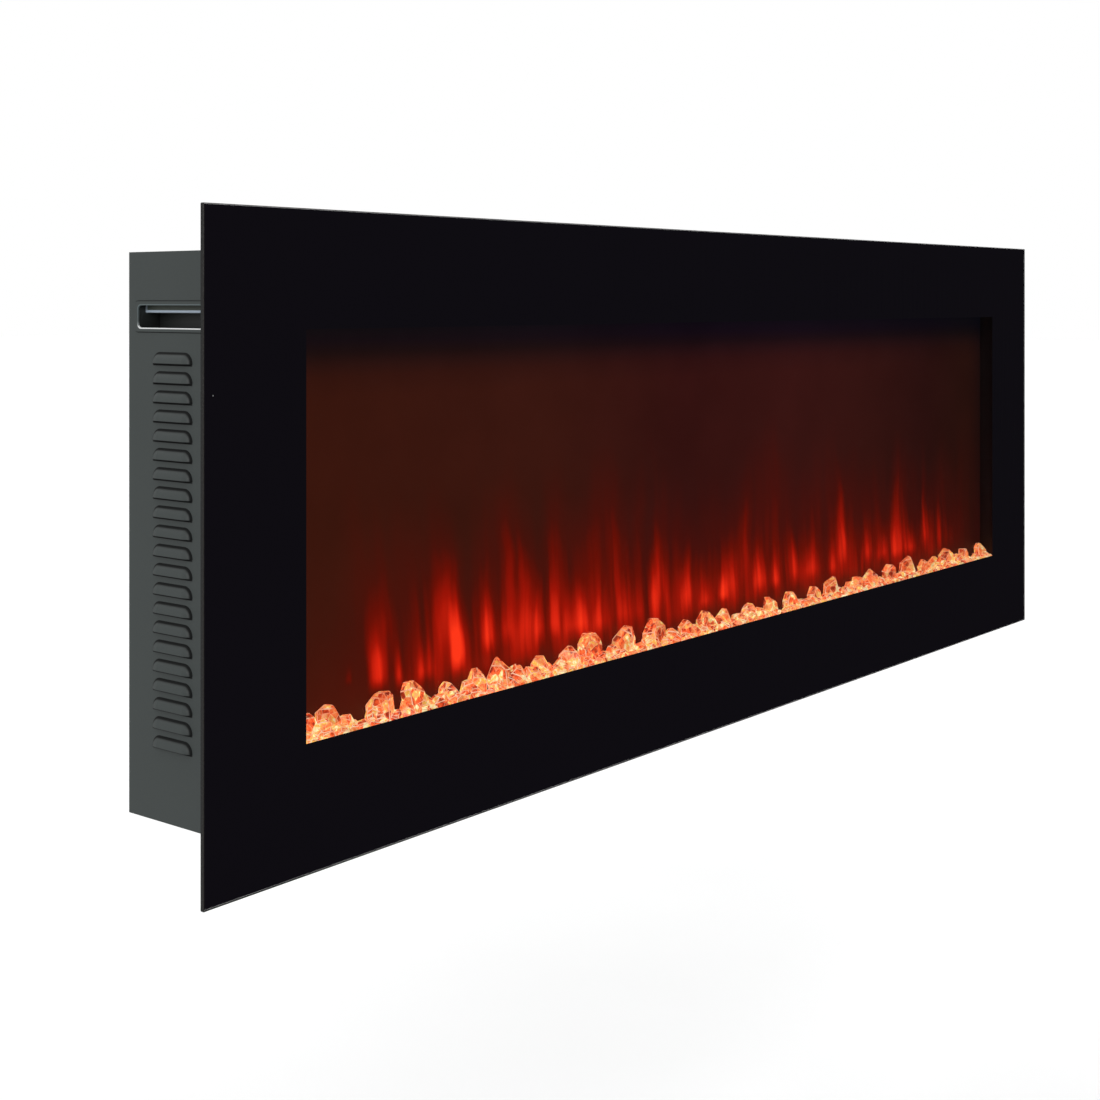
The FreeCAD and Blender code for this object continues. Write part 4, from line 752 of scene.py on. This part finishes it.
def crystal_bed():
    """Tall stones spaced out at the back, smaller ones closed up in front, joined into one piece."""
    rng = random.Random(31)
    reach = DIFFUSER_HIGH.x - BARE_END
    bed = bmesh.new()
    for row, (depth, width, height, step, play) in enumerate(STONE_ROWS):
        x = -reach + (step / 2 if row == 1 else 0)
        while x < reach:
            size = rng.uniform(0.74, 1.10) * (1.0 - SHRINK_RIGHT * (1 + x / reach))
            stone = cut_stone(rng, width * size, height * size * rng.uniform(0.80, 1.08))
            bmesh.ops.rotate(stone, verts=stone.verts, cent=(0, 0, 0), matrix=turned(rng, row))
            set_down(rng, stone, x, depth, play)
            join(bed, stone)
            x += step * rng.uniform(0.70, 1.25)
    mesh = bpy.data.meshes.new("crystal_bed")
    bed.to_mesh(mesh)
    bed.free()
    piece = bpy.data.objects.new("crystal_bed", mesh)
    bpy.context.scene.collection.objects.link(piece)
    mesh.materials.append(crystal_body())
    mesh.materials.append(crystal_edge())
    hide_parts("crystals")
    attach(piece, "casing")


# ---- materials on the CAD nodes ----

def dress(material, *names):
    """Puts one material on CAD nodes."""
    for name in names:
        data = NODES[name].data
        data.materials.clear()
        data.materials.append(material)


def dress_nodes():
    """A material for every CAD node."""
    dress(casing_paint(), "side_panel_left", "side_panel_right", "top_panel", "bottom_panel", "rear_panel")
    dress(powder_coat("black_paint", (0.010, 0.010, 0.010)), "outlet_grille")
    # Painted light: the firebox's black is lightened and tinted red, standing in for the screen's glow on
    # it.
    dress(powder_coat("firebox_black", (0.034, 0.015, 0.019), rough=0.6),
          "firebox_side_liners", "firebox_top_liner", "ember_tray")
    dress(grip_paint(), "hand_hold_left", "hand_hold_right")
    dress(brushed("zinc", (0.60, 0.61, 0.62)), "wall_bracket", "glass_hook_brackets", "glass_hangers",
          "casing_screws", "screen_clips", "motor_bracket", "bearing_brackets", "heater_duct",
          "blower_housing", "spindle_motor")
    dress(brushed("bright_steel", (0.75, 0.76, 0.77), rough=0.2), "spindle_rod", "motor_shaft",
          "blower_shaft")
    dress(brushed("aluminium", (0.78, 0.79, 0.80), rough=0.3), "flame_cutout_plate", "heating_element",
          "blower_impeller")
    dress(brushed("mirror_foil", (0.9, 0.9, 0.9), rough=0.12), "spindle_reflectors")
    dress(brushed("copper_winding", (0.72, 0.38, 0.2), rough=0.4), "blower_motor")
    dress(rubber("rubber"), "wall_bumpers", "glass_pads", "drive_coupling")
    dress(moulded("black_plastic", (0.016, 0.016, 0.017)), "ir_receiver", "thermal_cutout",
          "board_components", "mains_gland", "tactile_switches", "control_bezel", "rocker_housing")
    dress(moulded("button_grey", (0.30, 0.31, 0.32), rough=0.4), "heat_button", "flame_button",
          "timer_button")
    dress(moulded("rocker_red", (0.5, 0.02, 0.015), rough=0.3, grain=0.1), "power_rocker")
    dress(moulded("white_nylon", (0.72, 0.71, 0.67)), "spindle_bushes", "blower_bush",
          "board_standoffs", "terminal_block", "control_posts", "wiring", "ir_lead")
    dress(circuit_board("circuit_board"), "power_board", "control_board", "ember_led_board",
          "flame_led_board")
    dress(dark_dot(), "ir_window")
    dress(pane_glass(), "front_glass")
    dress(black_print(), "glass_print")
    dress(flame_screen(), "flame_screen")
    dress(diffuser_glow(), "ember_diffuser")


# ---- floor, light and background ----

def seen_directly(world, path):
    """1 for rays from the camera, straight or through one clear pane."""
    shallow = world.math("LESS_THAN", path["Ray Depth"], CLEAR_DEPTH)
    through = world.product(path["Is Transmission Ray"], shallow)
    return world.math("MAXIMUM", path["Is Camera Ray"], through)


def white(world, strength):
    """A white background of one strength."""
    made = world.node("ShaderNodeBackground")
    made.inputs["Color"].default_value = (1, 1, 1, 1)
    world.feed(made.inputs["Strength"], strength)
    return made.outputs[0]


def make_world():
    """Even white surroundings; shiny surfaces see them bright behind and above, and dark in front."""
    data = bpy.data.worlds.new("studio")
    bpy.context.scene.world = data
    data.use_nodes = True
    world = Graph(data.node_tree)
    world.nodes.clear()
    coords = world.node("ShaderNodeTexCoord")
    _, back, up = world.split(coords.outputs["Generated"])
    behind = world.remap(back, -0.1, 0.35, 0.005, 0.45)
    overhead = world.remap(up, 0.45, 0.9, 0.005, 0.6)
    mirrored = white(world, world.math("MAXIMUM", behind, overhead))
    ambient = white(world, world.remap(up, -0.5, 0.3, AMBIENT_BELOW, AMBIENT))
    path = world.node("ShaderNodeLightPath").outputs
    around = world.mix_shaders(path["Is Diffuse Ray"], mirrored, ambient)
    seen = world.mix_shaders(seen_directly(world, path), around, white(world, 1.0))
    out = world.node("ShaderNodeOutputWorld")
    world.links.new(seen, out.inputs["Surface"])


def soft_sun(name, direction, strength, spread):
    """A wide soft sun shining along a direction."""
    data = bpy.data.lights.new(name, "SUN")
    data.energy = strength
    data.angle = math.radians(spread)
    light = bpy.data.objects.new(name, data)
    light.rotation_euler = Vector(direction).to_track_quat("-Z", "Y").to_euler()
    bpy.context.scene.collection.objects.link(light)


def make_studio():
    """Pale floor well below the hung object, and two wide soft suns."""
    bpy.ops.mesh.primitive_plane_add(size=FLOOR_SIZE, location=(0, 0, GLASS_LOW.z - FLOOR_DROP))
    floor = bpy.context.object
    floor.name = "floor"
    t = Tree("pale_floor")
    cloud = t.noise(t.scaled_place(), 1.5, 3.0)
    t.set(Base_Color=t.ramp(cloud, greys((0.3, 0.94), (0.7, 0.96))), Roughness=0.9)
    floor.data.materials.append(t.material)
    floor.visible_glossy = False
    floor.visible_transmission = False
    floor.visible_diffuse = False
    soft_sun("key_left", (1.0, 0.45, -0.45), 1.0, 40)
    soft_sun("fill_behind", (0.1, -0.6, -1.0), 0.3, 70)


make_camera()
make_world()
make_studio()
dress_nodes()
crystal_bed()

bpy.context.scene.view_settings.view_transform = "Standard"
